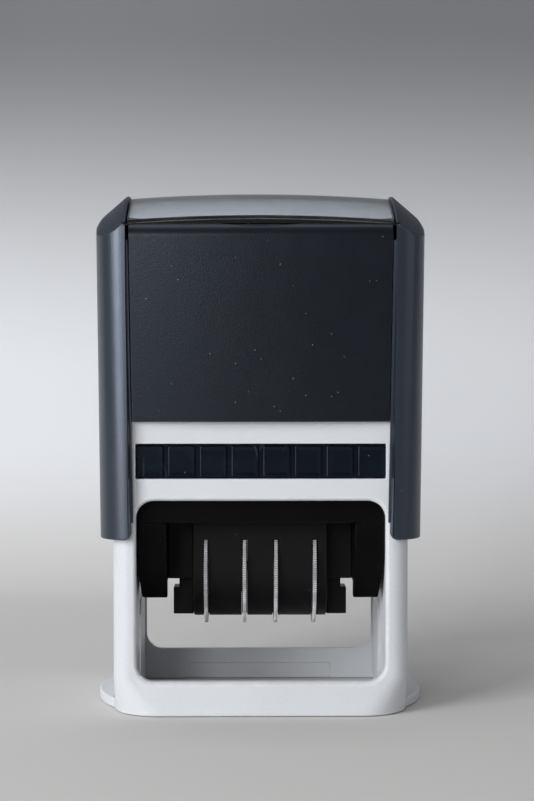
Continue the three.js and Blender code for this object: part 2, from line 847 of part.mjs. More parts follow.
function wing() {
  const high = wingPeak + cutOver;
  const plan = loft([wingPlan(wingBottom), wingPlan(high)]);
  const outside = plan.intersect(wingTopLoft(0, wingFace + cutOver, wingBottom));
  const halfDepth = wingFace - wingEndWall;
  const cavityPlan = prism(
    rectangle(-frameSide, -halfDepth, wingSideInner, halfDepth, wingSideInnerCorner),
    "z",
    wingBottom - cutOver,
    high,
    3,
  );
  const cavity = cavityPlan.intersect(
    wingTopLoft(wingTopWall, wingFace + cutOver, wingBottom - cutOver),
  );
  const outsideWall = wingOuterTop + wingBow + cutOver;
  const buttonHole = prism(lockOutline(seamGap), "x", frameSide, outsideWall, 2);
  return without(outside, [cavity, buttonHole]);
}

// Yoke

function yoke() {
  const halfWidth = yokeArmWidth / 2;
  const waist = lockHeight - yokeWaistDrop;
  const armShape = new THREE.Shape();
  armShape.absarc(0, pivotHeight, yokeEyeRadius, full / 2, full, false);
  armShape.lineTo(halfWidth, waist);
  armShape.lineTo(halfWidth, yokePlateBottom);
  armShape.lineTo(yokePlateWidth / 2, yokePlateTop);
  armShape.lineTo(-yokePlateWidth / 2, yokePlateTop);
  armShape.lineTo(-halfWidth, yokePlateBottom);
  armShape.lineTo(-halfWidth, waist);
  const eye = bar(0, pivotHeight, pivotRadius + seatGap, -yokeOuter - cutOver, yokeOuter + cutOver);
  const arms = [1, -1].map((side) =>
    prism(
      armShape,
      "x",
      Math.min(side * yokeInner, side * yokeOuter),
      Math.max(side * yokeInner, side * yokeOuter),
    ),
  );
  const buttonHole = prism(
    lockOutline(seamGap),
    "x",
    -yokeOuter - cutOver,
    yokeOuter + cutOver,
    2,
  );
  const plate = block(
    [-yokeOuter, yokeOuter],
    [-yokePlateWidth / 2, yokePlateWidth / 2],
    [yokePlateBottom, yokePlateTop],
  );
  const peg = prism(
    circle(0, 0, springInner - springPegGap),
    "z",
    yokePlateBottom - springPegLength,
    yokePlateBottom + yokePlateThickness / 2,
    roundSteps,
  );
  return joined([...arms.map((arm) => without(arm, [eye, buttonHole])), plate, peg]);
}

// Lock buttons

function lockButton() {
  const share = (lockHeight - wingBottom) / (panelTop - wingBottom);
  const surface = wingOuterBottom + (wingOuterTop - wingOuterBottom) * share;
  const headFrom = frameSide + lockTravel + seamGap;
  const head = prism(lockOutline(0), "x", headFrom, surface + wingBow - lockSink, 2);
  const stem = bar(0, lockHeight, lockStemRadius, frameSide + runningGap, headFrom + seatGap);
  return head.add(stem);
}

// Ink cartridge: a tray open below for the foam, with a tiled strip at each end

function inkCartridge() {
  const halfWidth = stripWidth / 2;
  const halfDepth = cartridgeDepth / 2;
  const bottom = cartridgeBottom;
  const body = block([-halfWidth, halfWidth], [-halfDepth, halfDepth], [bottom, cartridgeBodyTop]);
  const ends = [1, -1].map((side) =>
    block(
      [-halfWidth, halfWidth],
      side > 0 ? [halfDepth - cartridgeEndWall, halfDepth] : [-halfDepth, cartridgeEndWall - halfDepth],
      [bottom, slotTop - seamGap],
    ),
  );
  const grooves = Array.from({ length: stripTiles - 1 }, (_, number) => {
    const x = (number + 1 - stripTiles / 2) * tilePitch;
    return [1, -1].map((side) =>
      block(
        [x - tileGroove / 2, x + tileGroove / 2],
        side > 0
          ? [halfDepth - tileGrooveDepth, halfDepth + cutOver]
          : [-halfDepth - cutOver, tileGrooveDepth - halfDepth],
        [bottom - cutOver, slotTop + cutOver],
      ),
    );
  }).flat();
  const foamSpace = block(
    [-foamWidth / 2 - seatGap, foamWidth / 2 + seatGap],
    [-foamDepth / 2 - seatGap, foamDepth / 2 + seatGap],
    [bottom - cutOver, bottom + foamThickness + seatGap],
  );
  return without(joined([body, ...ends]), [...grooves, foamSpace]);
}

function inkPad() {
  const bottom = cartridgeBottom;
  return prism(
    rectangle(-foamWidth / 2, -foamDepth / 2, foamWidth / 2, foamDepth / 2, seamGap),
    "z",
    bottom,
    bottom + foamThickness,
    2,
  );
}

// Holder pieces are drawn round the pivot, which is the zero of their height

function cheek() {
  const half = cheekDepth / 2;
  const foot = cheekFootDepth / 2;
  const side = polygon([
    [-foot, -cheekFootDrop],
    [foot, -cheekFootDrop],
    [half, cheekWaistRise - cheekFootDrop],
    [half, holderPlateTop],
    [-half, holderPlateTop],
    [-half, cheekWaistRise - cheekFootDrop],
  ]);
  const front = polygon([
    [cheekInner, -cheekFootDrop - cutOver],
    [cheekOuter - cheekTaper, -cheekFootDrop - cutOver],
    [cheekOuter - cheekTaper, -cheekFootDrop],
    [cheekOuter, cheekTaperRise - cheekFootDrop],
    [cheekOuter, holderPlateTop],
    [cheekInner, holderPlateTop],
  ]);
  const body = prism(side, "x", cheekInner, cheekOuter).intersect(
    prism(front, "y", -holderDepth, holderDepth),
  );
  const studTo = cheekOuter + camStudLength;
  const stud = bar(camArm, 0, camStudRadius, cheekOuter - seamGap, studTo);
  const bore = bar(0, 0, pivotRadius + seatGap, cheekInner - cutOver, cheekOuter + cutOver);
  return body.add(stud).subtract(bore);
}

function plateHolder() {
  const half = holderDepth / 2;
  const plate = block([-cheekOuter, cheekOuter], [-half, half], [holderPlateBottom, holderPlateTop]);
  const skirts = [1, -1].map((side) =>
    block(
      [-cheekOuter, cheekOuter],
      side > 0 ? [half - holderSkirtWall, half] : [-half, holderSkirtWall - half],
      [holderSkirtBottom, holderPlateTop],
    ),
  );
  const dateOpening = block(
    [-datePlateWidth / 2, datePlateWidth / 2],
    [-datePlateDepth / 2, datePlateDepth / 2],
    [holderPlateBottom - cutOver, holderPlateTop + cutOver],
  );
  const right = cheek();
  return joined([plate.subtract(dateOpening), ...skirts, right, mirroredX(right)]);
}

function pivotPin() {
  return bar(0, 0, pivotRadius, cheekInner + seamGap, yokeOuter - seatGap);
}

function windowed(width, depth, bottom, top) {
  const outer = prism(
    rectangle(-width / 2, -depth / 2, width / 2, depth / 2, seamGap),
    "z",
    bottom,
    top,
    2,
  );
  const opening = block(
    [-dateWindowWidth / 2, dateWindowWidth / 2],
    [-dateWindowDepth / 2, dateWindowDepth / 2],
    [bottom - cutOver, top + cutOver],
  );
  return outer.subtract(opening);
}

function textPlate() {
  const bottom = holderPlateTop + seatGap;
  return windowed(textPlateWidth, textPlateDepth, bottom, bottom + textPlateThickness);
}

function rubberDie() {
  return windowed(dieWidth, dieDepth, dieFace - dieThickness, dieFace);
}

// Date works

function bandAxle() {
  return bar(0, -axleDrop, axleRadius, -lugNeckReach, lugNeckReach);
}

// The outline of a belt round the hub and the platen's nose.
function beltOutline(hubRadius, noseRadius) {
  const rise = noseHeight + axleDrop;
  const lean = Math.asin((hubRadius - noseRadius) / rise);
  const shape = new THREE.Shape();
  shape.absarc(0, noseHeight, noseRadius, lean, full / 2 - lean, false);
  shape.absarc(0, -axleDrop, hubRadius, full / 2 - lean, full + lean, false);
  return shape;
}

const wheelPlaces = [-wheelOuterPlace, -wheelInnerPlace, wheelInnerPlace, wheelOuterPlace];
const bandWidths = [dayBandWidth, dayBandWidth, monthBandWidth, yearBandWidth];

// A band starts beside its wheel: the first wheel has its band to its right, the others to their left.
function bandSpan(number) {
  const beside = wheelThickness / 2 + bandWallGap;
  const place = wheelPlaces[number];
  if (number === 0) {
    return [place + beside, place + beside + bandWidths[number]];
  }
  return [place - beside - bandWidths[number], place - beside];
}

function dateBand(number) {
  const outline = beltOutline(bandHubRadius + bandThickness, bandOuterNose);
  outline.holes.push(beltOutline(bandHubRadius, bandNoseRadius));
  return prism(outline, "x", ...bandSpan(number), 2 * quarterSteps);
}

function toothedDisc() {
  const points = Array.from({ length: 2 * wheelTeeth }, (_, corner) => {
    const angle = (full * corner) / (2 * wheelTeeth);
    const radius = corner % 2 === 0 ? wheelRadius : wheelRadius - wheelToothDepth;
    return [radius * Math.cos(angle), radius * Math.sin(angle)];
  });
  return polygon(points);
}

// A wheel about its own axis, to be set at the axle: a toothed disc with the hub of its band.
function dateWheel(number) {
  const [from, to] = bandSpan(number).map((x) => x - wheelPlaces[number]);
  const half = wheelThickness / 2;
  const disc = prism(toothedDisc(), "x", -half, half);
  const hub = bar(0, 0, wheelHubRadius, Math.min(from, -half), Math.max(to, half), roundSteps);
  const bore = bar(0, 0, axleRadius + seatGap, from - cutOver, to + cutOver + half, roundSteps);
  return disc.add(hub).subtract(bore);
}

function bandPlaten() {
  const innerWall = drumWidth / 2 - drumWall;
  const nose = new THREE.Shape();
  nose.moveTo(-platenRadius, platenBaseBottom);
  nose.lineTo(platenRadius, platenBaseBottom);
  nose.lineTo(platenRadius, noseHeight);
  nose.absarc(0, noseHeight, platenRadius, 0, full / 2, false);
  const reach = innerWall + platenEndLength - seatGap;
  const noseReach = dateWindowWidth / 2 - seamGap;
  return prism(nose, "x", -noseReach, noseReach).add(
    block([-reach, reach], [-platenRadius, platenRadius], [platenBaseBottom, platenBaseTop]),
  );
}

// The drum's outline with a flat bottom, cut off inside its round.
function drumOutline(radius, flatCut) {
  const centre = -axleDrop;
  const top = holderPlateBottom - seatGap;
  const cut = Math.asin((radius - flatCut) / radius);
  const shape = new THREE.Shape();
  shape.moveTo(radius, top);
  shape.lineTo(-radius, top);
  shape.lineTo(-radius, centre);
  shape.absarc(0, centre, radius, full / 2, full / 2 + cut, false);
  shape.absarc(0, centre, radius, full - cut, full, false);
  return shape;
}

function drumCover() {
  const half = drumWidth / 2;
  const wall = half - drumWall;
  const open = holderPlateBottom + cutOver;
  const outside = prism(drumOutline(drumRadius, drumFlatCut), "x", -half, half);
  const hollowShape = drumOutline(drumRadius - drumWall, drumHollowCut);
  const hollow = prism(hollowShape, "x", -wall, wall).add(
    block([-wall, wall], [drumWall - drumRadius, drumRadius - drumWall], [0, open]),
  );
  const slotHalf = wheelThickness / 2 + seamGap;
  const slotRadius = wheelRadius + seamGap;
  const slots = wheelPlaces.map((place) =>
    bar(0, -axleDrop, slotRadius, place - slotHalf, place + slotHalf, 2 * roundSteps),
  );
  const axleBore = bar(0, -axleDrop, axleRadius + seatGap, -half - cutOver, half + cutOver);
  const platenNotch = block(
    [-half - cutOver, half + cutOver],
    [-platenRadius - seatGap, platenRadius + seatGap],
    [platenBaseBottom - seatGap, open],
  );
  return without(outside, [hollow, ...slots, axleBore, platenNotch]);
}

// The web that stands between the drum and the cheek, with its lug at the bottom.
function sidePlate() {
  const top = holderPlateBottom - seatGap;
  const webEnd = -axleDrop - webBelowAxle;
  const lugTop = -axleDrop - lugTopBelowAxle;
  const lugBottom = -axleDrop - lugBottomBelowAxle;
  const across = [-lugDepth / 2, lugDepth / 2];
  const web = block([plateInner, cheekInner - seamGap], [-webDepth / 2, webDepth / 2], [webEnd, top]);
  const neck = block([plateInner, lugNeckReach], across, [lugTop - seatGap, webEnd + seatGap]);
  const lug = block([plateInner, lugReach], across, [lugBottom, lugTop]);
  const bore = bar(0, -axleDrop, axleRadius + seatGap, plateInner - cutOver, lugNeckReach + seatGap);
  return joined([web, neck, lug]).subtract(bore);
}

// Assembly

function frameGroup() {
  const group = new THREE.Group();
  group.add(makeMesh("base_frame", baseFrame(), whitePlastic));
  footPadPlaces().forEach(([x, y], index) => {
    const pad = makeMesh("foot_pad_" + (index + 1), footPadSolid(0, 0, 0, 0), padRubber);
    pad.position.set(x, y, 0);
    group.add(pad);
  });
  group.add(makeMesh("return_spring", returnSpring(), steel));
  return group;
}

function capGroup() {
  const group = new THREE.Group();
  group.add(makeMesh("cap_shell", capShell(), darkPlastic));
  const rightWing = makeMesh("right_wing", wing(), darkPlastic);
  group.add(rightWing, makeMirrored("left_wing", rightWing));
  group.add(makeMesh("yoke", yoke(), blackPlastic));
  group.add(makeMesh("index_card", indexCard(), silverCard));
  group.add(makeMesh("index_window", indexWindow(), clearPlastic));
  const rightButton = makeMesh("lock_button_right", lockButton(), darkPlastic);
  group.add(rightButton, makeMirrored("lock_button_left", rightButton));
  return group;
}

function cartridgeGroup() {
  const group = new THREE.Group();
  group.add(makeMesh("ink_cartridge", inkCartridge(), glossBlack));
  group.add(makeMesh("ink_pad", inkPad(), foam));
  return group;
}

function holderGroup() {
  const group = new THREE.Group();
  group.position.z = pivotHeight;
  group.add(makeMesh("plate_holder", plateHolder(), blackPlastic));
  const rightPin = makeMesh("pivot_pin_right", pivotPin(), steel);
  group.add(rightPin, makeMirrored("pivot_pin_left", rightPin));
  group.add(makeMesh("text_plate", textPlate(), blackPlastic));
  group.add(makeMesh("rubber_die", rubberDie(), rubber));
  group.add(makeMesh("drum_cover", drumCover(), blackPlastic));
  const rightPlate = makeMesh("right_side_plate", sidePlate(), blackPlastic);
  group.add(rightPlate, makeMirrored("left_side_plate", rightPlate));
  group.add(makeMesh("band_axle", bandAxle(), steel));
  group.add(makeMesh("band_platen", bandPlaten(), blackPlastic));
  wheelPlaces.forEach((place, number) => {
    group.add(makeMesh("date_band_" + (number + 1), dateBand(number), bandRubber));
    const wheel = makeMesh("date_wheel_" + (number + 1), dateWheel(number), greyWheel);
    wheel.position.set(place, 0, -axleDrop);
    group.add(wheel);
  });
  return group;
}

const dateStamp = new THREE.Group();
dateStamp.add(frameGroup(), capGroup(), cartridgeGroup(), holderGroup());

export default dateStamp;
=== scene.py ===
"""Looks of a self-inking date stamp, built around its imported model.

Shapes are drawn in millimetres and become metres when a piece is handed over.
+Z is up and the front faces -Y.
"""

import logging
import math
from collections.abc import Callable, Iterator, Sequence
from contextlib import contextmanager
from dataclasses import dataclass, field
from enum import Enum

import bmesh
import bpy
from mathutils import Matrix, Vector


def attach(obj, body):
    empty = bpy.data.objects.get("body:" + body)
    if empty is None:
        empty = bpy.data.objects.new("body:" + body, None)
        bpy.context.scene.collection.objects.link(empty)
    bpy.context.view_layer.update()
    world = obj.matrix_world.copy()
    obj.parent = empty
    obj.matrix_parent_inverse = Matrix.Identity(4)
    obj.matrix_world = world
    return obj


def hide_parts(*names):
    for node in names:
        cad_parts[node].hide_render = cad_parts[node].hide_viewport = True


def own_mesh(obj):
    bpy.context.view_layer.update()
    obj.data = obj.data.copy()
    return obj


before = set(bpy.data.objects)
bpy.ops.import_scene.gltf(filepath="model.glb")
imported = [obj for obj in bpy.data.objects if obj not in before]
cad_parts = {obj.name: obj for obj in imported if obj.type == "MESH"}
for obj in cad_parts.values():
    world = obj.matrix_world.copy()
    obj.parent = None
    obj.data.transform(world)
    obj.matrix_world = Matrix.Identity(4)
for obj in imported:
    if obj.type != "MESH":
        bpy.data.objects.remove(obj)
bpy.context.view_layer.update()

LOG = logging.getLogger("date_stamp")
MM = 0.001
OVER = 3.0  # how far a cutting shape runs past what it cuts
CORNER_STEPS = 8
ROUND_STEPS = 64
SHARP_ANGLE = 38.0  # degrees, from which an edge is softened
MERGE_WITHIN = 0.0004  # corners closer than this become one
NEAR = 0.05  # how far from a face a corner still counts as lying on it

# Places and bores that several sub-assemblies share
PIVOT = 43.8
AXLE = 31.0
LOCK = 62.0
PIVOT_BORE = 2.15
AXLE_BORE = 1.25
WHEEL_PLACES = (-12.65, -3.65, 3.65, 12.65)

Point = tuple[float, float]
Place = tuple[float, float, float]
Colour = tuple[float, float, float, float]
Shape = bpy.types.Object
Material = bpy.types.Material
Node = bpy.types.Node
Socket = bpy.types.NodeSocket
Tree = bpy.types.NodeTree
Test = Callable[[Vector], bool]


class Axis(Enum):
    """The direction along which an outline is extruded."""

    X = "x"
    Y = "y"
    Z = "z"


class Fit(Enum):
    """How one solid is combined with another."""

    JOIN = "UNION"
    CUT = "DIFFERENCE"
    KEEP = "INTERSECT"


# Outlines


def arc(centre: Point, radius: float, start: float, end: float, steps: int = CORNER_STEPS) -> list[Point]:
    """Draws an arc.

    Args:
        centre: The arc's centre.
        radius: Its radius.
        start: The angle of its first point, in degrees.
        end: The angle of its last point, in degrees.
        steps: How many straight steps it has.

    Returns:
        The points from start to end.
    """
    angles = [math.radians(start + (end - start) * step / steps) for step in range(steps + 1)]
    return [(centre[0] + radius * math.cos(a), centre[1] + radius * math.sin(a)) for a in angles]


def rounded(
    left: float, low: float, right: float, high: float, corner: float, steps: int = CORNER_STEPS
) -> list[Point]:
    """Draws a rectangle with round corners.

    Args:
        left: Its left edge.
        low: Its lower edge.
        right: Its right edge.
        high: Its upper edge.
        corner: The radius of its corners.
        steps: The straight steps of each corner.

    Returns:
        The outline, anticlockwise.
    """
    corner = min(corner, (right - left) / 2 - 0.001, (high - low) / 2 - 0.001)
    return [
        *arc((right - corner, low + corner), corner, -90, 0, steps),
        *arc((right - corner, high - corner), corner, 0, 90, steps),
        *arc((left + corner, high - corner), corner, 90, 180, steps),
        *arc((left + corner, low + corner), corner, 180, 270, steps),
    ]


def curve_to(start: Point, bend: Point, end: Point, steps: int = CORNER_STEPS) -> list[Point]:
    """Draws a curve with one control point.

    Args:
        start: Where it starts.
        bend: The control point.
        end: Where it ends.
        steps: How many straight steps it has.

    Returns:
        The points, both ends among them.
    """
    made = []
    for step in range(steps + 1):
        t = step / steps
        weights = ((1 - t) ** 2, 2 * t * (1 - t), t * t)
        pulls = list(zip(weights, (start, bend, end)))
        made.append((sum(w * point[0] for w, point in pulls), sum(w * point[1] for w, point in pulls)))
    return made


def apart(points: Sequence[Point], least: float = 0.0005) -> list[Point]:
    """Leaves out points that lie on the one before them.

    Args:
        points: The points of an outline.
        least: How far a point must be from the last one kept.

    Returns:
        The points that are kept.
    """
    kept: list[Point] = []
    for point in points:
        if not kept or math.dist(point, kept[-1]) > least:
            kept.append(point)
    if math.dist(kept[0], kept[-1]) <= least:
        kept.pop()
    return kept


# Solids


def linked(name: str, data: bpy.types.ID) -> Shape:
    """Makes an object of a mesh, curve, lamp or camera.

    Args:
        name: The object's name.
        data: What it shows.

    Returns:
        The object, linked to the scene.
    """
    made = bpy.data.objects.new(name, data)
    bpy.context.scene.collection.objects.link(made)
    return made


@contextmanager
def edited(mesh: bpy.types.Mesh) -> Iterator[bmesh.types.BMesh]:
    """Opens a mesh for editing and writes it back afterwards.

    Args:
        mesh: The mesh.

    Yields:
        Its corners, edges and faces.
    """
    net = bmesh.new()
    net.from_mesh(mesh)
    yield net
    net.to_mesh(mesh)
    net.free()


def new_shape(places: Sequence[Place], faces: Sequence[Sequence[int]]) -> Shape:
    """Makes a closed shape with its faces outwards.

    Args:
        places: Its corners.
        faces: The corners of each face.

    Returns:
        The shape, linked to the scene.
    """
    mesh = bpy.data.meshes.new("shape")
    mesh.from_pydata([tuple(place) for place in places], [], [tuple(face) for face in faces])
    with edited(mesh) as net:
        bmesh.ops.recalc_face_normals(net, faces=net.faces)
    return linked("shape", mesh)


def loft(rings: Sequence[Sequence[Place]]) -> Shape:
    """Joins rings of equally many points into a closed solid.

    Args:
        rings: The rings, from one end to the other.

    Returns:
        The solid.
    """
    count = len(rings[0])
    faces: list[Sequence[int]] = []
    for ring in range(len(rings) - 1):
        low, high = ring * count, (ring + 1) * count
        for side in range(count):
            after = (side + 1) % count
            faces.append((low + side, low + after, high + after, high + side))
    last = (len(rings) - 1) * count
    faces.append(tuple(range(count)))
    faces.append(tuple(range(last, last + count)))
    return new_shape([place for ring in rings for place in ring], faces)


def placed(axis: Axis, point: Point, along: float) -> Place:
    """Puts a point of an outline into space.

    Args:
        axis: The axis across the outline's plane.
        point: The outline's point, in YZ, XZ or XY.
        along: Where it is along the axis.

    Returns:
        The point in space.
    """
    if axis is Axis.X:
        return (along, point[0], point[1])
    if axis is Axis.Y:
        return (point[0], along, point[1])
    return (point[0], point[1], along)


def prism(outline: Sequence[Point], axis: Axis, start: float, end: float) -> Shape:
    """Extrudes an outline along an axis.

    Args:
        outline: The outline, in YZ, XZ or XY.
        axis: The direction.
        start: Where the solid starts along it.
        end: Where it ends.

    Returns:
        The solid.
    """
    points = apart(outline)
    return loft([[placed(axis, point, along) for point in points] for along in (start, end)])


def block(x: Point, y: Point, z: Point) -> Shape:
    """Makes a plain block, for cutting or to be shaped further."""
    return prism([(x[0], y[0]), (x[1], y[0]), (x[1], y[1]), (x[0], y[1])], Axis.Z, z[0], z[1])


def rod(
    axis: Axis, centre: Point, radius: float, start: float, end: float, steps: int = ROUND_STEPS
) -> Shape:
    """Makes a round bar.

    Args:
        axis: Its direction.
        centre: Where its line crosses the plane across it.
        radius: Its radius.
        start: Where it starts.
        end: Where it ends.
        steps: The sides of its round.

    Returns:
        The bar.
    """
    return prism(arc(centre, radius, 0, 360, steps), axis, start, end)


def turned(axis: Axis, centre: Point, profile: Sequence[Point], steps: int = ROUND_STEPS) -> Shape:
    """Makes a lathe-turned bar from stations along an axis.

    Args:
        axis: Its direction.
        centre: Where its line crosses the plane across it.
        profile: The place along the axis and the radius of each station.
        steps: The sides of its round.

    Returns:
        The bar.
    """
    rings = []
    for along, radius in profile:
        outline = arc(centre, radius, 0, 360, steps)[:-1]
        rings.append([placed(axis, point, along) for point in outline])
    return loft(rings)


def settle(shape: Shape) -> None:
    """Applies a shape's modifiers to its mesh.

    Args:
        shape: The shape, which keeps its object.
    """
    graph = bpy.context.evaluated_depsgraph_get()
    mesh = bpy.data.meshes.new_from_object(
        shape.evaluated_get(graph), preserve_all_data_layers=True, depsgraph=graph
    )
    old = shape.data
    shape.modifiers.clear()
    shape.data = mesh
    bpy.data.meshes.remove(old)


def discard(*shapes: Shape) -> None:
    """Removes shapes that have served as tools.

    Args:
        shapes: The shapes.
    """
    for shape in shapes:
        mesh = shape.data
        bpy.data.objects.remove(shape)
        bpy.data.meshes.remove(mesh)


def combine(shape: Shape, fit: Fit, *tools: Shape) -> Shape:
    """Joins, cuts or clips a shape with others, which are used up.

    Args:
        shape: The shape to change.
        fit: What is done.
        tools: The other shapes.

    Returns:
        The same shape.
    """
    for tool in tools:
        modifier = shape.modifiers.new("fit", "BOOLEAN")
        modifier.operation = fit.value
        modifier.solver = "EXACT"
        modifier.object = tool
    settle(shape)
    discard(*tools)
    return shape


def gathered(shape: Shape, *others: Shape) -> Shape:
    """Puts shapes that only touch or sink into one another into one mesh.

    Args:
        shape: The shape that takes the others.
        others: What is added, and used up.

    Returns:
        The same shape.
    """
    with edited(shape.data) as net:
        for other in others:
            net.from_mesh(other.data)
    discard(*others)
    return shape


def soften(
    shape: Shape, width: float, where: Test | None = None, segments: int = 3, sharp: float = SHARP_ANGLE
) -> Shape:
    """Rounds the sharp edges of a shape and marks the new faces for edge wear.

    Args:
        shape: The shape.
        width: The width of the rounding.
        where: Which corners count; an edge is rounded if both its ends do.
        segments: The facets of the rounding.
        sharp: The least angle of an edge that is rounded, in degrees.

    Returns:
        The same shape.
    """
    with edited(shape.data) as net:
        bmesh.ops.remove_doubles(net, verts=net.verts, dist=MERGE_WITHIN)
        bmesh.ops.dissolve_limit(net, angle_limit=math.radians(0.1), verts=net.verts, edges=net.edges)
        wear = net.faces.layers.float.get("wear") or net.faces.layers.float.new("wear")
        chosen = [
            edge
            for edge in net.edges
            if len(edge.link_faces) == 2
            and edge.calc_face_angle(0.0) > math.radians(sharp)
            and (where is None or all(where(corner.co) for corner in edge.verts))
        ]
        made = bmesh.ops.bevel(
            net, geom=chosen, offset=width, offset_type="OFFSET", segments=segments, profile=0.5,
            affect="EDGES", clamp_overlap=False, loop_slide=True,
        )
        for face in made["faces"]:
            face[wear] = 1.0
        bmesh.ops.remove_doubles(net, verts=net.verts, dist=MERGE_WITHIN)
    return shape


def worn(shape: Shape) -> Shape:
    """Marks every face of a shape for the edge colour: painted light, used on the wheel's teeth so that the
    darker disc between them looks shaded.

    Args:
        shape: The shape.

    Returns:
        The same shape.
    """
    wear = shape.data.attributes.new("wear", "FLOAT", "FACE")
    wear.data.foreach_set("value", [1.0] * len(shape.data.polygons))
    return shape


def copied(shape: Shape) -> Shape:
    """Makes a second shape with its own mesh.

    Args:
        shape: The first shape.

    Returns:
        The second one.
    """
    copy = shape.copy()
    copy.data = shape.data.copy()
    bpy.context.scene.collection.objects.link(copy)
    return copy


def mirrored(shape: Shape) -> Shape:
    """Makes a second shape, mirrored to the other side of the stamp.

    Args:
        shape: The first shape.

    Returns:
        The second one.
    """
    copy = copied(shape)
    with edited(copy.data) as net:
        bmesh.ops.transform(net, matrix=Matrix.Scale(-1, 4, Vector((1, 0, 0))), verts=net.verts)
        bmesh.ops.reverse_faces(net, faces=net.faces)
    return copy


def moved(shape: Shape, x: float = 0.0, y: float = 0.0, z: float = 0.0) -> Shape:
    """Moves a shape's mesh."""
    shape.data.transform(Matrix.Translation((x, y, z)))
    return shape


def shade(shape: Shape, crease: float = 40.0) -> None:
    """Shades a shape smoothly up to its creases, with normals led by its large faces.

    Args:
        shape: The shape.
        crease: The angle from which an edge stays sharp, in degrees.
    """
    mesh = shape.data
    mesh.polygons.foreach_set("use_smooth", [True] * len(mesh.polygons))
    mesh.set_sharp_from_angle(angle=math.radians(crease))
    modifier = shape.modifiers.new("normals", "WEIGHTED_NORMAL")
    modifier.keep_sharp = True
    modifier.weight = 60
    settle(shape)


def hand_over(
    shape: Shape, name: str, body: str, slot: str, material: Material, node: str, crease: float = 40.0
) -> Shape:
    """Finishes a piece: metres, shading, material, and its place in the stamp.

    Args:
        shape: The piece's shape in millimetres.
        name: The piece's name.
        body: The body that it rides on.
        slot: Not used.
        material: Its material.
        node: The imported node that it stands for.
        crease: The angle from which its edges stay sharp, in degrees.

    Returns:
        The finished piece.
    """
    shape.name = name
    shade(shape, crease)
    shape.data.name = name
    shape.data.transform(Matrix.Scale(MM, 4))
    shape.data.materials.clear()
    shape.data.materials.append(material)
    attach(shape, body)
    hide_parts(node)
    LOG.info("%s: %d faces, rides on %s", name, len(shape.data.polygons), body)
    return shape


def hand_over_both(shape: Shape, name: str, body: str, slot: str, material: Material, node: str) -> None:
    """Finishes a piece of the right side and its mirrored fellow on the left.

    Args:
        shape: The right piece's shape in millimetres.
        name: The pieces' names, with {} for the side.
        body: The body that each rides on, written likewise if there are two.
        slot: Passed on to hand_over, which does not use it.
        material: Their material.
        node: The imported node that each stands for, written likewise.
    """
    fellow = mirrored(shape)
    for side, piece in (("right", shape), ("left", fellow)):
        hand_over(piece, name.format(side), body.format(side), slot, material, node.format(side))


# Node trees


class Graph:
    """Adds and links the nodes of one tree."""

    def __init__(self, tree: Tree) -> None:
        """Starts on an empty or new tree."""
        self.tree = tree

    def add(self, kind: str, values: dict | None = None, **settings: object) -> Node:
        """Adds a node.

        Args:
            kind: The node's type.
            values: For each input's name or number, its value or the output that feeds it.
            settings: The node's own settings.

        Returns:
            The node.
        """
        node = self.tree.nodes.new(kind)
        for name, value in settings.items():
            setattr(node, name, value)
        for name, value in (values or {}).items():
            self.feed(node.inputs[name], value)
        return node

    def feed(self, socket: Socket, value: object) -> None:
        """Links an output to an input, or sets a plain value on it.

        Args:
            socket: The input.
            value: The output or the plain value.
        """
        if isinstance(value, Socket):
            self.tree.links.new(value, socket)
        else:
            socket.default_value = value

    def math(self, operation: str, first: object, second: object, clamp: bool = False) -> Socket:
        """Adds a sum of two numbers or outputs and returns its result."""
        node = self.add("ShaderNodeMath", {0: first, 1: second}, operation=operation, use_clamp=clamp)
        return node.outputs[0]

    def scaled(self, value: Socket, factor: float, offset: float) -> Socket:
        """Multiplies a number, adds an offset and returns the result."""
        node = self.add("ShaderNodeMath", {0: value, 1: factor, 2: offset}, operation="MULTIPLY_ADD")
        return node.outputs[0]

    def remap(
        self, value: Socket, low: float, high: float, to_low: float = 0.0, to_high: float = 1.0
    ) -> Socket:
        """Maps a range smoothly onto another.

        Args:
            value: The number that is mapped.
            low: Where its range starts.
            high: Where its range ends.
            to_low: What low becomes.
            to_high: What high becomes.

        Returns:
            The mapped number.
        """
        values = {"Value": value, "From Min": low, "From Max": high, "To Min": to_low, "To Max": to_high}
        return self.add("ShaderNodeMapRange", values, interpolation_type="SMOOTHSTEP").outputs["Result"]

    def blend(self, share: object, first: object, second: object) -> Socket:
        """Mixes two colours by a share and returns the colour."""
        values = {0: share, 6: first, 7: second}  # the numbers of a colour mix's sockets
        return self.add("ShaderNodeMix", values, data_type="RGBA", clamp_factor=True).outputs[2]


def new_tree(
    name: str, kind: str, inputs: Sequence[tuple[str, str, object]], outputs: Sequence[tuple[str, str]]
) -> tuple[Graph, Node, Node]:
    """Makes a node group with named inputs and outputs.

    Args:
        name: The group's name.
        kind: The type of tree.
        inputs: The name, socket type and default of each input.
        outputs: The name and socket type of each output.

    Returns:
        The group's graph, its input node and its output node.
    """
    tree = bpy.data.node_groups.new(name, kind)
    for label, socket_type, default in inputs:
        socket = tree.interface.new_socket(name=label, in_out="INPUT", socket_type=socket_type)
        if default is not None:
            socket.default_value = default
    for label, socket_type in outputs:
        tree.interface.new_socket(name=label, in_out="OUTPUT", socket_type=socket_type)
    return Graph(tree), tree.nodes.new("NodeGroupInput"), tree.nodes.new("NodeGroupOutput")


def new_effect(name: str, inputs: dict[str, float], outputs: Sequence[str]) -> tuple[Graph, Node, Node]:
    """Makes a shader node group whose inputs and outputs are all numbers.

    Args:
        name: The group's name.
        inputs: The name and default of each input.
        outputs: The name of each output.

    Returns:
        The group's graph, its input node and its output node.
    """
    number = "NodeSocketFloat"
    sockets = [(label, number, default) for label, default in inputs.items()]
    return new_tree(name, "ShaderNodeTree", sockets, [(label, number) for label in outputs])


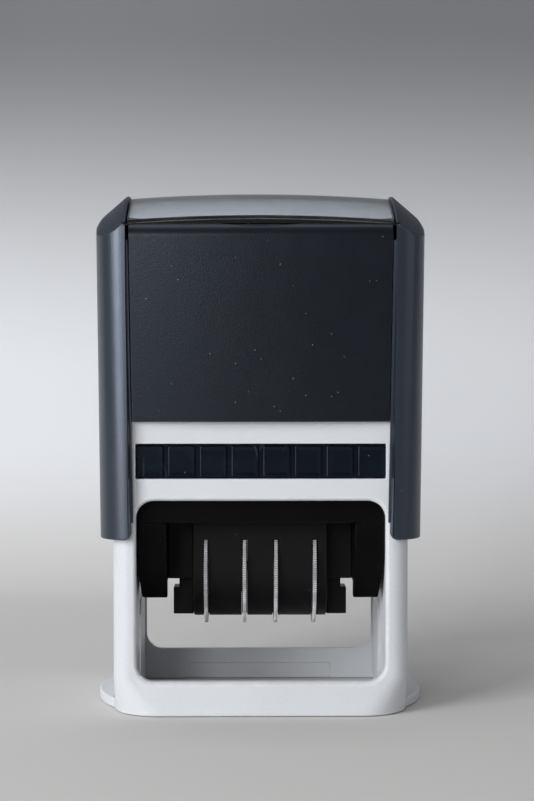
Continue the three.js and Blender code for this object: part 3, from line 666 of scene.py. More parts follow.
class Patterns:
    """Geometry node trees for what repeats or follows a path."""

    def __init__(self) -> None:
        """Builds the three trees."""
        self.row = self._row()
        self.ring = self._ring()
        self.wire = self._wire()

    @staticmethod
    def _open(name: str, inputs: Sequence[tuple[str, str, object]]) -> tuple[Graph, Node, Node]:
        """Starts a tree that takes a geometry, its own inputs and a finish, and gives a geometry."""
        geometry, finish = ("Geometry", "NodeSocketGeometry", None), ("Finish", "NodeSocketMaterial", None)
        return new_tree(name, "GeometryNodeTree", [geometry, *inputs, finish], [geometry[:2]])

    @staticmethod
    def _close(graph: Graph, parts: Sequence[Socket], made: Node, end: Node) -> None:
        """Joins the parts, makes them real and gives them their finish.

        Args:
            graph: The tree's graph.
            parts: The outputs that make up the whole.
            made: The tree's input node.
            end: Its output node.
        """
        join = graph.add("GeometryNodeJoinGeometry")
        for part in parts:
            graph.feed(join.inputs[0], part)
        real = graph.add("GeometryNodeRealizeInstances", {0: join.outputs[0]})
        values = {"Geometry": real.outputs[0], "Material": made.outputs["Finish"]}
        graph.feed(end.inputs[0], graph.add("GeometryNodeSetMaterial", values).outputs[0])

    def _row(self) -> Tree:
        """A straight row of copies of one piece, added to the shape that carries it."""
        inputs = [
            ("Piece", "NodeSocketObject", None), ("Count", "NodeSocketInt", 2),
            ("Start", "NodeSocketVector", (0.0, 0.0, 0.0)),
            ("Step", "NodeSocketVector", (1.0, 0.0, 0.0)),
        ]
        graph, made, end = self._open("row_of_pieces", inputs)
        piece = graph.add("GeometryNodeObjectInfo", {"Object": made.outputs["Piece"]})
        sources = {"Count": "Count", "Start Location": "Start", "Offset": "Step"}
        values = {name: made.outputs[source] for name, source in sources.items()}
        line = graph.add("GeometryNodeMeshLine", values)
        copies = graph.add(
            "GeometryNodeInstanceOnPoints",
            {"Points": line.outputs["Mesh"], "Instance": piece.outputs["Geometry"]},
        )
        self._close(graph, [made.outputs["Geometry"], copies.outputs[0]], made, end)
        return graph.tree

    def _ring(self) -> Tree:
        """Copies of one piece round an axis along X, each turned outwards."""
        inputs = [
            ("Piece", "NodeSocketObject", None), ("Count", "NodeSocketInt", 2),
            ("Radius", "NodeSocketFloat", 1.0),
            ("Centre", "NodeSocketVector", (0.0, 0.0, 0.0)),
        ]
        graph, made, end = self._open("ring_of_pieces", inputs)
        piece = graph.add("GeometryNodeObjectInfo", {"Object": made.outputs["Piece"]})
        circle = graph.add(
            "GeometryNodeMeshCircle", {"Vertices": made.outputs["Count"], "Radius": made.outputs["Radius"]}
        )
        upright = graph.add(
            "GeometryNodeTransform", {"Geometry": circle.outputs[0], "Rotation": (0.0, math.pi / 2, 0.0)}
        )
        outwards = graph.add(
            "FunctionNodeAlignRotationToVector",
            {"Vector": graph.add("GeometryNodeInputPosition").outputs[0]},
            axis="Z", pivot_axis="X",
        )
        values = {"Points": upright.outputs[0], "Instance": piece.outputs["Geometry"]}
        values["Rotation"] = outwards.outputs[0]
        copies = graph.add("GeometryNodeInstanceOnPoints", values)
        set_in = graph.add(
            "GeometryNodeTransform", {"Geometry": copies.outputs[0], "Translation": made.outputs["Centre"]}
        )
        self._close(graph, [made.outputs["Geometry"], set_in.outputs[0]], made, end)
        return graph.tree

    def _wire(self) -> Tree:
        """A round wire along a line of edges."""
        inputs = [("Radius", "NodeSocketFloat", 0.5), ("Sides", "NodeSocketInt", 12)]
        graph, made, end = self._open("wire_on_path", inputs)
        path = graph.add("GeometryNodeMeshToCurve", {"Mesh": made.outputs["Geometry"]})
        section = graph.add(
            "GeometryNodeCurvePrimitiveCircle",
            {"Resolution": made.outputs["Sides"], "Radius": made.outputs["Radius"]},
        )
        tube = graph.add(
            "GeometryNodeCurveToMesh",
            {"Curve": path.outputs[0], "Profile Curve": section.outputs[0], "Fill Caps": True},
        )
        self._close(graph, [tube.outputs[0]], made, end)
        return graph.tree

    @staticmethod
    def apply(shape: Shape, tree: Tree, **values: object) -> Shape:
        """Runs a tree on a shape and keeps the plain mesh.

        Args:
            shape: The shape that the tree starts from.
            tree: The tree.
            values: The tree's inputs, by name.

        Returns:
            The same shape, its modifier gone.
        """
        modifier = shape.modifiers.new("pattern", "NODES")
        modifier.node_group = tree
        identifiers = {
            item.name: item.identifier
            for item in tree.interface.items_tree
            if item.item_type == "SOCKET" and item.in_out == "INPUT"
        }
        for name, value in values.items():
            modifier[identifiers[name]] = value
        shape.update_tag()
        bpy.context.view_layer.update()
        settle(shape)
        return shape

    def along_row(
        self, shape: Shape, piece: Shape, count: int, start: Place, step: Place, finish: Material
    ) -> Shape:
        """Adds a row of copies of a piece, which is used up.

        Args:
            shape: The shape that carries the row.
            piece: What is repeated, modelled about the origin.
            count: How many.
            start: Where the first one goes.
            step: From each to the next.
            finish: The material of the whole.

        Returns:
            The same shape.
        """
        self.apply(shape, self.row, Piece=piece, Count=count, Start=start, Step=step, Finish=finish)
        discard(piece)
        return shape

    def around(
        self, shape: Shape, piece: Shape, count: int, radius: float, centre: Place, finish: Material
    ) -> Shape:
        """Adds a ring of copies of a piece, which is used up.

        Args:
            shape: The shape that carries the ring.
            piece: What is repeated, modelled about the origin with its outside up.
            count: How many.
            radius: The ring's radius.
            centre: The ring's centre.
            finish: The material of the whole.

        Returns:
            The same shape.
        """
        self.apply(shape, self.ring, Piece=piece, Count=count, Radius=radius, Centre=centre, Finish=finish)
        discard(piece)
        return shape


# Effects that materials share


class Effects:
    """Shader node groups, each built once and placed in many materials."""

    def __init__(self) -> None:
        """Builds the groups."""
        self.grain = self._grain()
        self.ageing = self._ageing()
        self.wear = self._wear()
        self.scuffs = self._scuffs()

    @staticmethod
    def _grain() -> Tree:
        """The fine pebbled surface that a mould leaves."""
        inputs = {"Cells": 3000.0, "Pebbles": 0.5}
        graph, made, end = new_effect("moulded_grain", inputs, ("Height", "Tone"))
        place = graph.add("ShaderNodeTexCoord").outputs["Object"]
        scale = made.outputs["Cells"]
        fine = graph.add(
            "ShaderNodeTexNoise", {"Vector": place, "Scale": scale, "Detail": 2.0, "Roughness": 0.6}
        )
        wider = graph.math("MULTIPLY", scale, 0.8)
        cells = graph.add("ShaderNodeTexVoronoi", {"Vector": place, "Scale": wider})
        pebbles = graph.math("MULTIPLY", cells.outputs["Distance"], made.outputs["Pebbles"])
        graph.feed(end.inputs["Height"], graph.math("SUBTRACT", fine.outputs[0], pebbles))
        graph.feed(end.inputs["Tone"], graph.remap(fine.outputs[0], 0.35, 0.7))
        return graph.tree

    @staticmethod
    def _ageing() -> Tree:
        """Slow drift of colour, finger smudges and sparse dust."""
        inputs = {"Drift Scale": 30.0, "Smudge Scale": 90.0, "Dust Scale": 900.0, "Dust Share": 0.1}
        graph, made, end = new_effect("ageing", inputs, ("Drift", "Smudge", "Dust"))
        place = graph.add("ShaderNodeTexCoord").outputs["Object"]
        drift = graph.add(
            "ShaderNodeTexNoise", {"Vector": place, "Scale": made.outputs["Drift Scale"], "Detail": 2.0}
        )
        smudge = graph.add(
            "ShaderNodeTexNoise",
            {"Vector": place, "Scale": made.outputs["Smudge Scale"], "Detail": 4.0, "Distortion": 1.2},
        )
        dust = graph.add("ShaderNodeTexVoronoi", {"Vector": place, "Scale": made.outputs["Dust Scale"]})
        near = graph.remap(dust.outputs["Distance"], 0.13, 0.05)
        draw = graph.add("ShaderNodeSeparateColor", {0: dust.outputs["Color"]}).outputs[0]
        rare = graph.math("LESS_THAN", draw, made.outputs["Dust Share"])
        graph.feed(end.inputs["Drift"], graph.remap(drift.outputs[0], 0.3, 0.7))
        graph.feed(end.inputs["Smudge"], graph.remap(smudge.outputs[0], 0.42, 0.68))
        graph.feed(end.inputs["Dust"], graph.math("MULTIPLY", near, rare))
        return graph.tree

    @staticmethod
    def _wear() -> Tree:
        """Rubbed edges, and painted light on the wheel's teeth: the faces that the attribute marks, broken
        up by noise.
        """
        inputs = {"Amount": 0.5, "Breakup Scale": 260.0}
        graph, made, end = new_effect("edge_wear_and_painted_light", inputs, ("Mask",))
        place = graph.add("ShaderNodeTexCoord").outputs["Object"]
        marks = graph.add("ShaderNodeAttribute", attribute_type="GEOMETRY", attribute_name="wear")
        noise = graph.add(
            "ShaderNodeTexNoise", {"Vector": place, "Scale": made.outputs["Breakup Scale"], "Detail": 3.0}
        )
        broken = graph.remap(noise.outputs[0], 0.35, 0.65, 0.25, 1.0)
        share = graph.math("MULTIPLY", marks.outputs["Fac"], broken)
        graph.feed(end.inputs["Mask"], graph.math("MULTIPLY", share, made.outputs["Amount"], True))
        return graph.tree

    @staticmethod
    def _scuffs() -> Tree:
        """Hairline scratches in patches."""
        graph, made, end = new_effect("scuffs", {"Scale": 160.0, "Width": 0.03}, ("Mask",))
        place = graph.add("ShaderNodeTexCoord").outputs["Object"]
        bent = graph.add(
            "ShaderNodeMapping", {"Vector": place, "Rotation": (0.3, 0.5, 0.7), "Scale": (1.0, 2.6, 0.5)}
        )
        lines = graph.add(
            "ShaderNodeTexVoronoi",
            {"Vector": bent.outputs[0], "Scale": made.outputs["Scale"]},
            feature="DISTANCE_TO_EDGE",
        )
        thin = graph.math("LESS_THAN", lines.outputs["Distance"], made.outputs["Width"])
        patch = graph.add("ShaderNodeTexNoise", {"Vector": place, "Scale": 70.0, "Detail": 1.0})
        patches = graph.remap(patch.outputs[0], 0.5, 0.62)
        graph.feed(end.inputs["Mask"], graph.math("MULTIPLY", thin, patches))
        return graph.tree


# Finishes


DUST = (0.62, 0.61, 0.58, 1.0)
SCRATCHED = (0.3, 0.3, 0.31, 1.0)
PEBBLE_LIGHT = 1.45  # how much lighter the top of the grain is
SCATTER_REACH = 0.0012  # metres that light travels inside plastic


def toned(colour: Colour, factor: float) -> Colour:
    """Makes a colour lighter or darker by a factor."""
    return tuple(min(1.0, part * factor) for part in colour[:3]) + (1.0,)


class Dresser:
    """Starts a material and places the shared effects in it."""

    def __init__(self, name: str, effects: Effects) -> None:
        """Starts a material with one Principled shader.

        Args:
            name: The material's name.
            effects: The shared groups.
        """
        self.material = bpy.data.materials.new(name)
        self.material.use_nodes = True
        self.graph = Graph(self.material.node_tree)
        self.effects = effects
        self.shader = next(n for n in self.material.node_tree.nodes if n.type == "BSDF_PRINCIPLED")
        self.output = next(n for n in self.material.node_tree.nodes if n.type == "OUTPUT_MATERIAL")

    def effect(self, tree: Tree, values: dict[str, float]) -> Node:
        """Places a shared group with its own values."""
        return self.graph.add("ShaderNodeGroup", values, node_tree=tree)

    def feed(self, name: str, value: object) -> None:
        """Links an output to the shader, or sets a plain value on it."""
        self.graph.feed(self.shader.inputs[name], value)

    def bump(self, height: Socket, microns: float) -> None:
        """Raises the surface by a height pattern of that depth."""
        values = {"Height": height, "Strength": 1.0, "Distance": microns * 1e-6}
        self.feed("Normal", self.graph.add("ShaderNodeBump", values).outputs[0])

    def see_through(self, share: Socket, clear: Node) -> None:
        """Puts a transparent shader in the place of the first by a share.

        Args:
            share: How much of it.
            clear: The transparent shader.
        """
        values = {0: share, 1: self.shader.outputs[0], 2: clear.outputs[0]}
        mix = self.graph.add("ShaderNodeMixShader", values)
        self.graph.feed(self.output.inputs["Surface"], mix.outputs[0])


@dataclass(frozen=True)
class MouldedPlastic:
    """Opaque moulded plastic or rubber, with grain, drift of colour, edge wear and dust; on the wheel's
    teeth the edge colour is painted light.
    """

    name: str
    colour: Colour
    drift: Colour
    edge: Colour
    roughness: float = 0.45
    smudge: float = 0.08
    grain_cells: float = 3000.0
    grain_microns: float = 8.0
    pebbles: float = 0.5
    tone: float = 0.12
    wear: float = 0.5
    dust_scale: float = 700.0
    dust_share: float = 0.06
    dust_strength: float = 0.35
    scuff: float = 0.0
    specular: float = 0.5
    reflected: Colour = (1.0, 1.0, 1.0, 1.0)
    sheen: float = 0.0
    scattering: float = 0.0

    def make(self, effects: Effects) -> Material:
        """Builds the material.

        Args:
            effects: The shared groups.

        Returns:
            The material.
        """
        dresser = Dresser(self.name, effects)
        graph = dresser.graph
        grain = dresser.effect(effects.grain, {"Cells": self.grain_cells, "Pebbles": self.pebbles})
        dust_values = {"Dust Scale": self.dust_scale, "Dust Share": self.dust_share}
        ageing = dresser.effect(effects.ageing, dust_values)
        wear = dresser.effect(effects.wear, {"Amount": self.wear})
        colour = graph.blend(ageing.outputs["Drift"], self.colour, self.drift)
        tone = graph.math("MULTIPLY", grain.outputs["Tone"], self.tone)
        colour = graph.blend(tone, colour, toned(self.colour, PEBBLE_LIGHT))
        # Marked faces take the edge colour: rubbed edges, and painted light on the wheel's teeth.
        colour = graph.blend(wear.outputs["Mask"], colour, self.edge)
        dust = graph.math("MULTIPLY", ageing.outputs["Dust"], self.dust_strength)
        colour = graph.blend(dust, colour, DUST)
        rough = graph.scaled(ageing.outputs["Smudge"], self.smudge, self.roughness)
        if self.scuff:
            scuffs = dresser.effect(effects.scuffs, {})
            share = graph.math("MULTIPLY", scuffs.outputs["Mask"], self.scuff)
            colour = graph.blend(share, colour, SCRATCHED)
            rough = graph.math("ADD", rough, share, True)
        dresser.feed("Base Color", colour)
        dresser.feed("Roughness", rough)
        dresser.feed("Specular IOR Level", self.specular)
        dresser.feed("Specular Tint", self.reflected)
        dresser.feed("Sheen Weight", self.sheen)
        dresser.feed("Subsurface Weight", self.scattering)
        dresser.feed("Subsurface Radius", (SCATTER_REACH, SCATTER_REACH, SCATTER_REACH))
        dresser.bump(grain.outputs["Height"], self.grain_microns)
        return dresser.material


@dataclass(frozen=True)
class DrawnSteel:
    """Bright steel with fine marks from drawing or turning."""

    name: str
    colour: Colour = (0.58, 0.58, 0.6, 1.0)
    dark: Colour = (0.42, 0.41, 0.41, 1.0)
    roughness: float = 0.24
    line_scale: float = 2600.0

    def make(self, effects: Effects) -> Material:
        """Builds the material from the shared groups."""
        dresser = Dresser(self.name, effects)
        graph = dresser.graph
        place = graph.add("ShaderNodeTexCoord").outputs["Object"]
        stretched = graph.add("ShaderNodeMapping", {"Vector": place, "Scale": (0.08, 1.0, 1.0)})
        lines = graph.add(
            "ShaderNodeTexNoise", {"Vector": stretched.outputs[0], "Scale": self.line_scale, "Detail": 2.0}
        )
        ageing = dresser.effect(effects.ageing, {"Dust Share": 0.03})
        dresser.feed("Base Color", graph.blend(ageing.outputs["Drift"], self.colour, self.dark))
        dresser.feed("Roughness", graph.scaled(lines.outputs[0], 0.16, self.roughness - 0.06))
        dresser.feed("Metallic", 1.0)
        dresser.bump(lines.outputs[0], 4.0)
        return dresser.material


@dataclass(frozen=True)
class ClearPlastic:
    """Clear moulded plastic, faintly grey, through which lamps shine."""

    name: str
    colour: Colour = (0.93, 0.94, 0.95, 1.0)
    roughness: float = 0.06

    def make(self, effects: Effects) -> Material:
        """Builds the material from the shared groups."""
        dresser = Dresser(self.name, effects)
        graph = dresser.graph
        ageing = dresser.effect(effects.ageing, {"Smudge Scale": 60.0, "Dust Share": 0.04})
        scuffs = dresser.effect(effects.scuffs, {"Scale": 110.0, "Width": 0.012})
        tinted = toned(self.colour, 0.97)
        dresser.feed("Base Color", graph.blend(ageing.outputs["Drift"], self.colour, tinted))
        marks = graph.math("MULTIPLY", scuffs.outputs["Mask"], 0.12)
        rough = graph.scaled(ageing.outputs["Smudge"], 0.05, self.roughness)
        dresser.feed("Roughness", graph.math("ADD", rough, marks, True))
        dresser.feed("Transmission Weight", 1.0)
        dresser.feed("IOR", 1.49)
        dresser.bump(ageing.outputs["Smudge"], 3.0)
        clear = graph.add("ShaderNodeBsdfTransparent", {"Color": (0.92, 0.92, 0.93, 1.0)})
        dresser.see_through(graph.add("ShaderNodeLightPath").outputs["Is Shadow Ray"], clear)
        return dresser.material


@dataclass(frozen=True)
class SilverCard:
    """Silver-coated card: a fine metallic fleck over grey."""

    name: str
    colour: Colour = (0.36, 0.38, 0.41, 1.0)
    fleck: Colour = (0.54, 0.565, 0.6, 1.0)

    def make(self, effects: Effects) -> Material:
        """Builds the material from the shared groups."""
        dresser = Dresser(self.name, effects)
        graph = dresser.graph
        grain = dresser.effect(effects.grain, {"Cells": 5200.0, "Pebbles": 0.2})
        ageing = dresser.effect(effects.ageing, {"Dust Share": 0.05, "Drift Scale": 22.0})
        colour = graph.blend(grain.outputs["Tone"], self.colour, self.fleck)
        share = graph.math("MULTIPLY", ageing.outputs["Drift"], 0.4)
        dresser.feed("Base Color", graph.blend(share, colour, toned(self.colour, 0.9)))
        dresser.feed("Roughness", graph.scaled(grain.outputs["Tone"], 0.14, 0.42))
        dresser.feed("Metallic", 0.35)
        dresser.bump(grain.outputs["Height"], 3.0)
        return dresser.material


@dataclass(frozen=True)
class InkedFoam:
    """Open-pored foam soaked in ink, wet in places."""

    name: str
    colour: Colour = (0.012, 0.012, 0.03, 1.0)
    dry: Colour = (0.045, 0.045, 0.09, 1.0)

    def make(self, effects: Effects) -> Material:
        """Builds the material from the shared groups."""
        dresser = Dresser(self.name, effects)
        graph = dresser.graph
        grain = dresser.effect(effects.grain, {"Cells": 1700.0, "Pebbles": 1.4})
        values = {"Drift Scale": 60.0, "Smudge Scale": 140.0, "Dust Share": 0.0}
        ageing = dresser.effect(effects.ageing, values)
        colour = graph.blend(ageing.outputs["Drift"], self.colour, self.dry)
        share = graph.math("MULTIPLY", grain.outputs["Tone"], 0.5)
        dresser.feed("Base Color", graph.blend(share, colour, self.dry))
        dresser.feed("Roughness", graph.scaled(ageing.outputs["Smudge"], -0.35, 0.85))
        dresser.feed("Sheen Weight", 0.2)
        dresser.bump(grain.outputs["Height"], 160.0)
        return dresser.material


@dataclass(frozen=True)
class StudioPaint:
    """Matt paper of the floor and backdrop, clear from behind: the floor turns into the pale wall, which
    darkens towards the top as painted shade.
    """

    name: str
    floor: Colour
    wall: Colour
    top: Colour
    heights: tuple[float, float, float, float]  # where floor turns to wall, and wall to the painted shade at the top

    def make(self, effects: Effects) -> Material:
        """Builds the material from the shared groups."""
        dresser = Dresser(self.name, effects)
        graph = dresser.graph
        place = graph.add("ShaderNodeTexCoord").outputs["Object"]
        height = graph.add("ShaderNodeSeparateXYZ", {0: place}).outputs["Z"]
        ageing = dresser.effect(effects.ageing, {"Drift Scale": 3.0, "Dust Share": 0.0})
        tone = graph.blend(graph.remap(height, *self.heights[:2]), self.floor, self.wall)
        # Painted shade: higher up, the wall darkens to the top colour.
        tone = graph.blend(graph.remap(height, *self.heights[2:]), tone, self.top)
        share = graph.math("MULTIPLY", ageing.outputs["Drift"], 0.15)
        dresser.feed("Base Color", graph.blend(share, tone, toned(self.floor, 0.97)))
        dresser.feed("Roughness", 0.9)
        dresser.feed("Specular IOR Level", 0.15)
        behind = graph.add("ShaderNodeNewGeometry").outputs["Backfacing"]
        dresser.see_through(behind, graph.add("ShaderNodeBsdfTransparent"))
        return dresser.material


class Finishes:
    """Every material of the stamp."""

    def __init__(self) -> None:
        """Builds the materials from the shared effects."""
        effects = Effects()
        self.effects = effects
        self.white = MouldedPlastic(
            "white_frame_plastic", (0.705, 0.72, 0.745, 1), (0.67, 0.685, 0.71, 1), (0.84, 0.85, 0.87, 1),
            roughness=0.42, grain_cells=2600, grain_microns=5, tone=0.1, wear=0.5, dust_share=0.03,
            dust_strength=0.12, scattering=0.06,
        ).make(effects)
        self.panel = MouldedPlastic(
            "dark_cap_plastic", (0.0035, 0.005, 0.008, 1), (0.0045, 0.006, 0.0095, 1),
            (0.04, 0.045, 0.056, 1), roughness=0.33, smudge=0.03, specular=0.4,
            reflected=(0.78, 0.89, 1.0, 1), grain_cells=2900, grain_microns=17, pebbles=0.7, tone=0.3,
            wear=0.45, dust_share=0.07, dust_strength=0.3,
        ).make(effects)
        self.wing = MouldedPlastic(
            "wing_plastic", (0.012, 0.0155, 0.023, 1), (0.015, 0.019, 0.027, 1), (0.06, 0.067, 0.082, 1),
            roughness=0.34, smudge=0.03, specular=1.0, reflected=(0.74, 0.85, 1.0, 1), grain_cells=2900,
            grain_microns=14, pebbles=0.6, tone=0.25, wear=0.5, dust_share=0.05, dust_strength=0.3,
        ).make(effects)
        self.black = MouldedPlastic(
            "black_works_plastic", (0.0036, 0.0036, 0.004, 1), (0.0046, 0.0046, 0.005, 1),
            (0.02, 0.02, 0.021, 1), roughness=0.42, specular=0.16, grain_cells=3400, grain_microns=6,
            tone=0.2, wear=0.3, dust_share=0.03, dust_strength=0.15,
        ).make(effects)
        self.holder = MouldedPlastic(
            "deep_black_holder_plastic", (0.0018, 0.0018, 0.002, 1), (0.0025, 0.0025, 0.0028, 1),
            (0.012, 0.012, 0.013, 1), roughness=0.34, specular=0.08, grain_cells=3600, grain_microns=5,
            tone=0.2, wear=0.4, dust_share=0.02, dust_strength=0.1,
        ).make(effects)
        self.gloss = MouldedPlastic(
            "gloss_black_plastic", (0.0022, 0.0036, 0.0072, 1), (0.003, 0.005, 0.0095, 1),
            (0.03, 0.036, 0.046, 1), roughness=0.14, specular=0.26, reflected=(0.7, 0.85, 1.0, 1),
            smudge=0.16, grain_cells=900, grain_microns=2, tone=0.1, wear=0.4, dust_share=0.05,
            dust_strength=0.3, scuff=0.06,
        ).make(effects)
        self.button = MouldedPlastic(
            "button_plastic", (0.028, 0.030, 0.036, 1), (0.035, 0.037, 0.044, 1), (0.09, 0.092, 0.10, 1),
            roughness=0.36, grain_cells=3300, grain_microns=7, tone=0.2, wear=0.8,
        ).make(effects)
        # The wheel's lighter edge colour covers every face of its teeth: painted light, which leaves the
        # darker disc between the teeth looking shaded; on its rounded edges it is wear.
        self.wheel = MouldedPlastic(
            "grey_wheel_plastic", (0.36, 0.36, 0.37, 1), (0.31, 0.31, 0.32, 1), (0.72, 0.72, 0.74, 1),
            roughness=0.5, grain_cells=3800, grain_microns=6, tone=0.15, wear=1.0, dust_strength=0.1,
            scattering=0.05,
        ).make(effects)
        self.band = MouldedPlastic(
            "band_rubber", (0.028, 0.028, 0.03, 1), (0.04, 0.04, 0.042, 1), (0.07, 0.07, 0.072, 1),
            roughness=0.72, grain_cells=4200, grain_microns=14, tone=0.3, wear=0.7, dust_share=0.12,
            sheen=0.15,
        ).make(effects)
        self.die = MouldedPlastic(
            "die_rubber", (0.24, 0.055, 0.045, 1), (0.17, 0.04, 0.036, 1), (0.06, 0.018, 0.03, 1),
            roughness=0.66, grain_cells=2400, grain_microns=18, tone=0.25, wear=0.9, dust_share=0.08,
            sheen=0.1,
        ).make(effects)
        self.foot = MouldedPlastic(
            "foot_pad_rubber", (0.44, 0.44, 0.47, 1), (0.36, 0.36, 0.38, 1), (0.5, 0.5, 0.52, 1),
            roughness=0.8, grain_cells=3000, grain_microns=20, tone=0.3, dust_share=0.2, sheen=0.1,
        ).make(effects)
        self.steel = DrawnSteel("drawn_steel").make(effects)
        self.clear = ClearPlastic("clear_window_plastic").make(effects)
        self.card = SilverCard("silver_index_card").make(effects)
        self.foam = InkedFoam("inked_foam").make(effects)


# The dome that the index window, the card, the roof and the wing tops share


@dataclass(frozen=True)
class Dome:
    """The arched top of the cap."""

    crest: float = 119.1
    drop_depth: float = 6.57
    drop_width: float = 1.1
    half_depth: float = 24.5
    half_width: float = 30.0

    def drop(self, y: float) -> float:
        """How far the dome has fallen at that depth."""
        return self.drop_depth * (y / self.half_depth) ** 2

    def height(self, x: float, y: float) -> float:
        """The dome's height at a place."""
        return self.crest - self.drop(y) - self.drop_width * (x / self.half_width) ** 2

    def under(self, lowered: float, half_width: float, half_depth: float, base: float) -> Shape:
        """Makes everything under the dome, lowered by a depth, down to a flat base.

        Args:
            lowered: How far the surface is lowered.
            half_width: Half the solid's width.
            half_depth: Half its depth.
            base: The height of its flat base.

        Returns:
            The solid.
        """
        columns, rows = 16, 48
        rings = []
        for row in range(rows + 1):
            y = half_depth - 2 * half_depth * row / rows
            ring = [(-half_width, y, base), (half_width, y, base)]
            for column in range(columns + 1):
                x = half_width - 2 * half_width * column / columns
                ring.append((x, y, self.height(x, y) - lowered))
            rings.append(ring)
        return loft(rings)


# Sub-assemblies


@dataclass
class Assembly:
    """A sub-assembly of the stamp, which builds its pieces in its finishes."""

    finishes: Finishes  # the stamp's materials
    patterns: Patterns  # the trees for what repeats


@dataclass
class WhiteFrame(Assembly):
    """The white frame that stands on the paper, with its foot pads."""

    side: float = 33.4
    inner_side: float = 28.5
    face: float = 25.0
    inner_face: float = 23.0
    corner: float = 4.0
    top: float = 70.0
    lift: float = 0.15
    foot_face: float = 27.2
    foot_corner: float = 10.8
    foot_lip: float = 0.8
    foot_height: float = 8.5
    ear_reach: float = 38.0
    ear_radius: float = 32.0
    ear_half: float = 38.0  # degrees
    ear_thickness: float = 2.25
    view: tuple[float, float, float, float] = (28.1, 7.6, 48.4, 4.0)  # half width, low, high, corner
    slot: tuple[float, float, float, float] = (28.2, 53.4, 61.3, 0.3)
    bridge: Point = (62.1, 64.1)
    relief: tuple[float, float, float] = (18.0, 0.7, 4.0)  # half width, depth, top
    boss_radius: float = 5.8
    boss_top: float = 68.1
    pivot_height: float = PIVOT
    stroke: float = 36.6
    axle_half: float = PIVOT_BORE
    cam_arm: float = 9.0
    cam_reach: float = 1.7
    cam_depth: float = 1.5
    lock_height: float = LOCK
    lock_half: float = 1.8
    lock_depth: float = 1.45
    pad_centre: Point = (30.85, 15.0)
    pad_size: tuple[float, float, float] = (3.2, 9.0, 1.2)
    view_softness: float = 0.95
    slot_softness: float = 0.22
    edge_softness: float = 0.4

    def build(self) -> None:
        """Builds the frame and its four pads."""
        hand_over(self.body(), "white_frame", "frame", "white_plastic", self.finishes.white, "base_frame")
        number = 0
        for x_side, y_side in ((1, -1), (1, 1), (-1, 1), (-1, -1)):
            number += 1
            pad = self.foot_pad()
            moved(pad, x_side * self.pad_centre[0], y_side * self.pad_centre[1])
            name, finish = f"grip_pad_{number}", self.finishes.foot
            hand_over(pad, name, "frame", "pad_rubber", finish, f"foot_pad_{number}")

    def body(self) -> Shape:
        """Shapes the frame's one moulding."""
        rings = []
        for height, depth, corner in (
            (self.lift, self.foot_face, self.foot_corner),
            (self.lift + self.foot_lip, self.foot_face, self.foot_corner),
            (self.foot_height, self.face, self.corner), (self.top, self.face, self.corner),
        ):
            ring = rounded(-self.side, -depth, self.side, depth, corner, 12)
            rings.append([(x, y, height) for x, y in ring])
        whole = loft(rings)
        ear_top = self.lift + self.ear_thickness
        ear = prism(
            arc((self.ear_reach - self.ear_radius, 0), self.ear_radius, -self.ear_half, self.ear_half, 47),
            Axis.Z, self.lift, ear_top,
        )
        combine(whole, Fit.JOIN, ear, mirrored(ear))
        inner, depth = self.inner_side, self.inner_face
        hollow_low = block((-inner, inner), (-depth, depth), (-OVER, self.bridge[0]))
        hollow_high = block((-inner, inner), (-depth, depth), (self.bridge[1], self.top + OVER))
        through = self.foot_face + OVER
        view, slot = (
            prism(rounded(-half, low, half, high, corner, steps), Axis.Y, -through, through)
            for (half, low, high, corner), steps in ((self.view, 12), (self.slot, 4))
        )
        relief_half, relief_depth, relief_top = self.relief
        reach = depth + relief_depth
        relief = block((-relief_half, relief_half), (-reach, reach), (-OVER, relief_top))
        combine(whole, Fit.CUT, hollow_low, hollow_high, view, slot, relief)

        def elsewhere(place: Vector) -> bool:
            return abs(place.y) > self.inner_face + 0.1 or abs(place.x) > self.inner_side + 0.1

        soften(whole, self.view_softness, self.rim_of(self.view), segments=5)
        soften(whole, self.slot_softness, self.rim_of(self.slot))
        soften(whole, self.edge_softness, elsewhere)
        boss = rod(Axis.Z, (0, 0), self.boss_radius, self.bridge[1] - 1, self.boss_top)
        combine(whole, Fit.JOIN, soften(boss, 0.4))
        cuts = self.wall_cuts()
        cuts += [mirrored(cut) for cut in cuts]
        recess = 0.15  # between a foot pad and its seat
        half_x, half_y = self.pad_size[0] / 2 + recess, self.pad_size[1] / 2 + recess
        for x_side in (1, -1):
            for y_side in (1, -1):
                x, y = x_side * self.pad_centre[0], y_side * self.pad_centre[1]
                outline = rounded(x - half_x, y - half_y, x + half_x, y + half_y, half_x)
                cuts.append(prism(outline, Axis.Z, -OVER, self.pad_size[2] + recess))
        return combine(whole, Fit.CUT, *cuts)

    def rim_of(self, opening: tuple[float, float, float, float]) -> Test:
        """Makes the test for an opening's rims in the front and back walls.

        Args:
            opening: Half its width, its low and high ends and its corners' radius.

        Returns:
            The test of a corner's place.
        """
        half, low, high, _ = opening

        def test(place: Vector) -> bool:
            inside = abs(place.x) < half + NEAR and low - NEAR < place.z < high + NEAR
            return abs(place.y) > self.face - 0.3 and inside

        return test

    def wall_cuts(self) -> list[Shape]:
        """The axle slot, cam track and lock recesses of the right side wall.

        Returns:
            The cutting shapes.
        """
        half = self.axle_half
        low = self.pivot_height - self.stroke - half
        slot = prism(
            rounded(-half, low, half, self.pivot_height + half, half, 12),
            Axis.X, self.inner_side - OVER, self.side + OVER,
        )
        pocket_from = self.side - self.lock_depth
        lock = self.lock_half
        channel = block(
            (pocket_from, self.side + OVER), (-lock, lock),
            (self.lock_height - self.stroke - lock, self.lock_height - lock - 1),
        )
        pocket = rod(Axis.X, (0, self.lock_height), lock, pocket_from, self.side + OVER, 32)
        return [slot, self.cam_track(), channel, pocket]

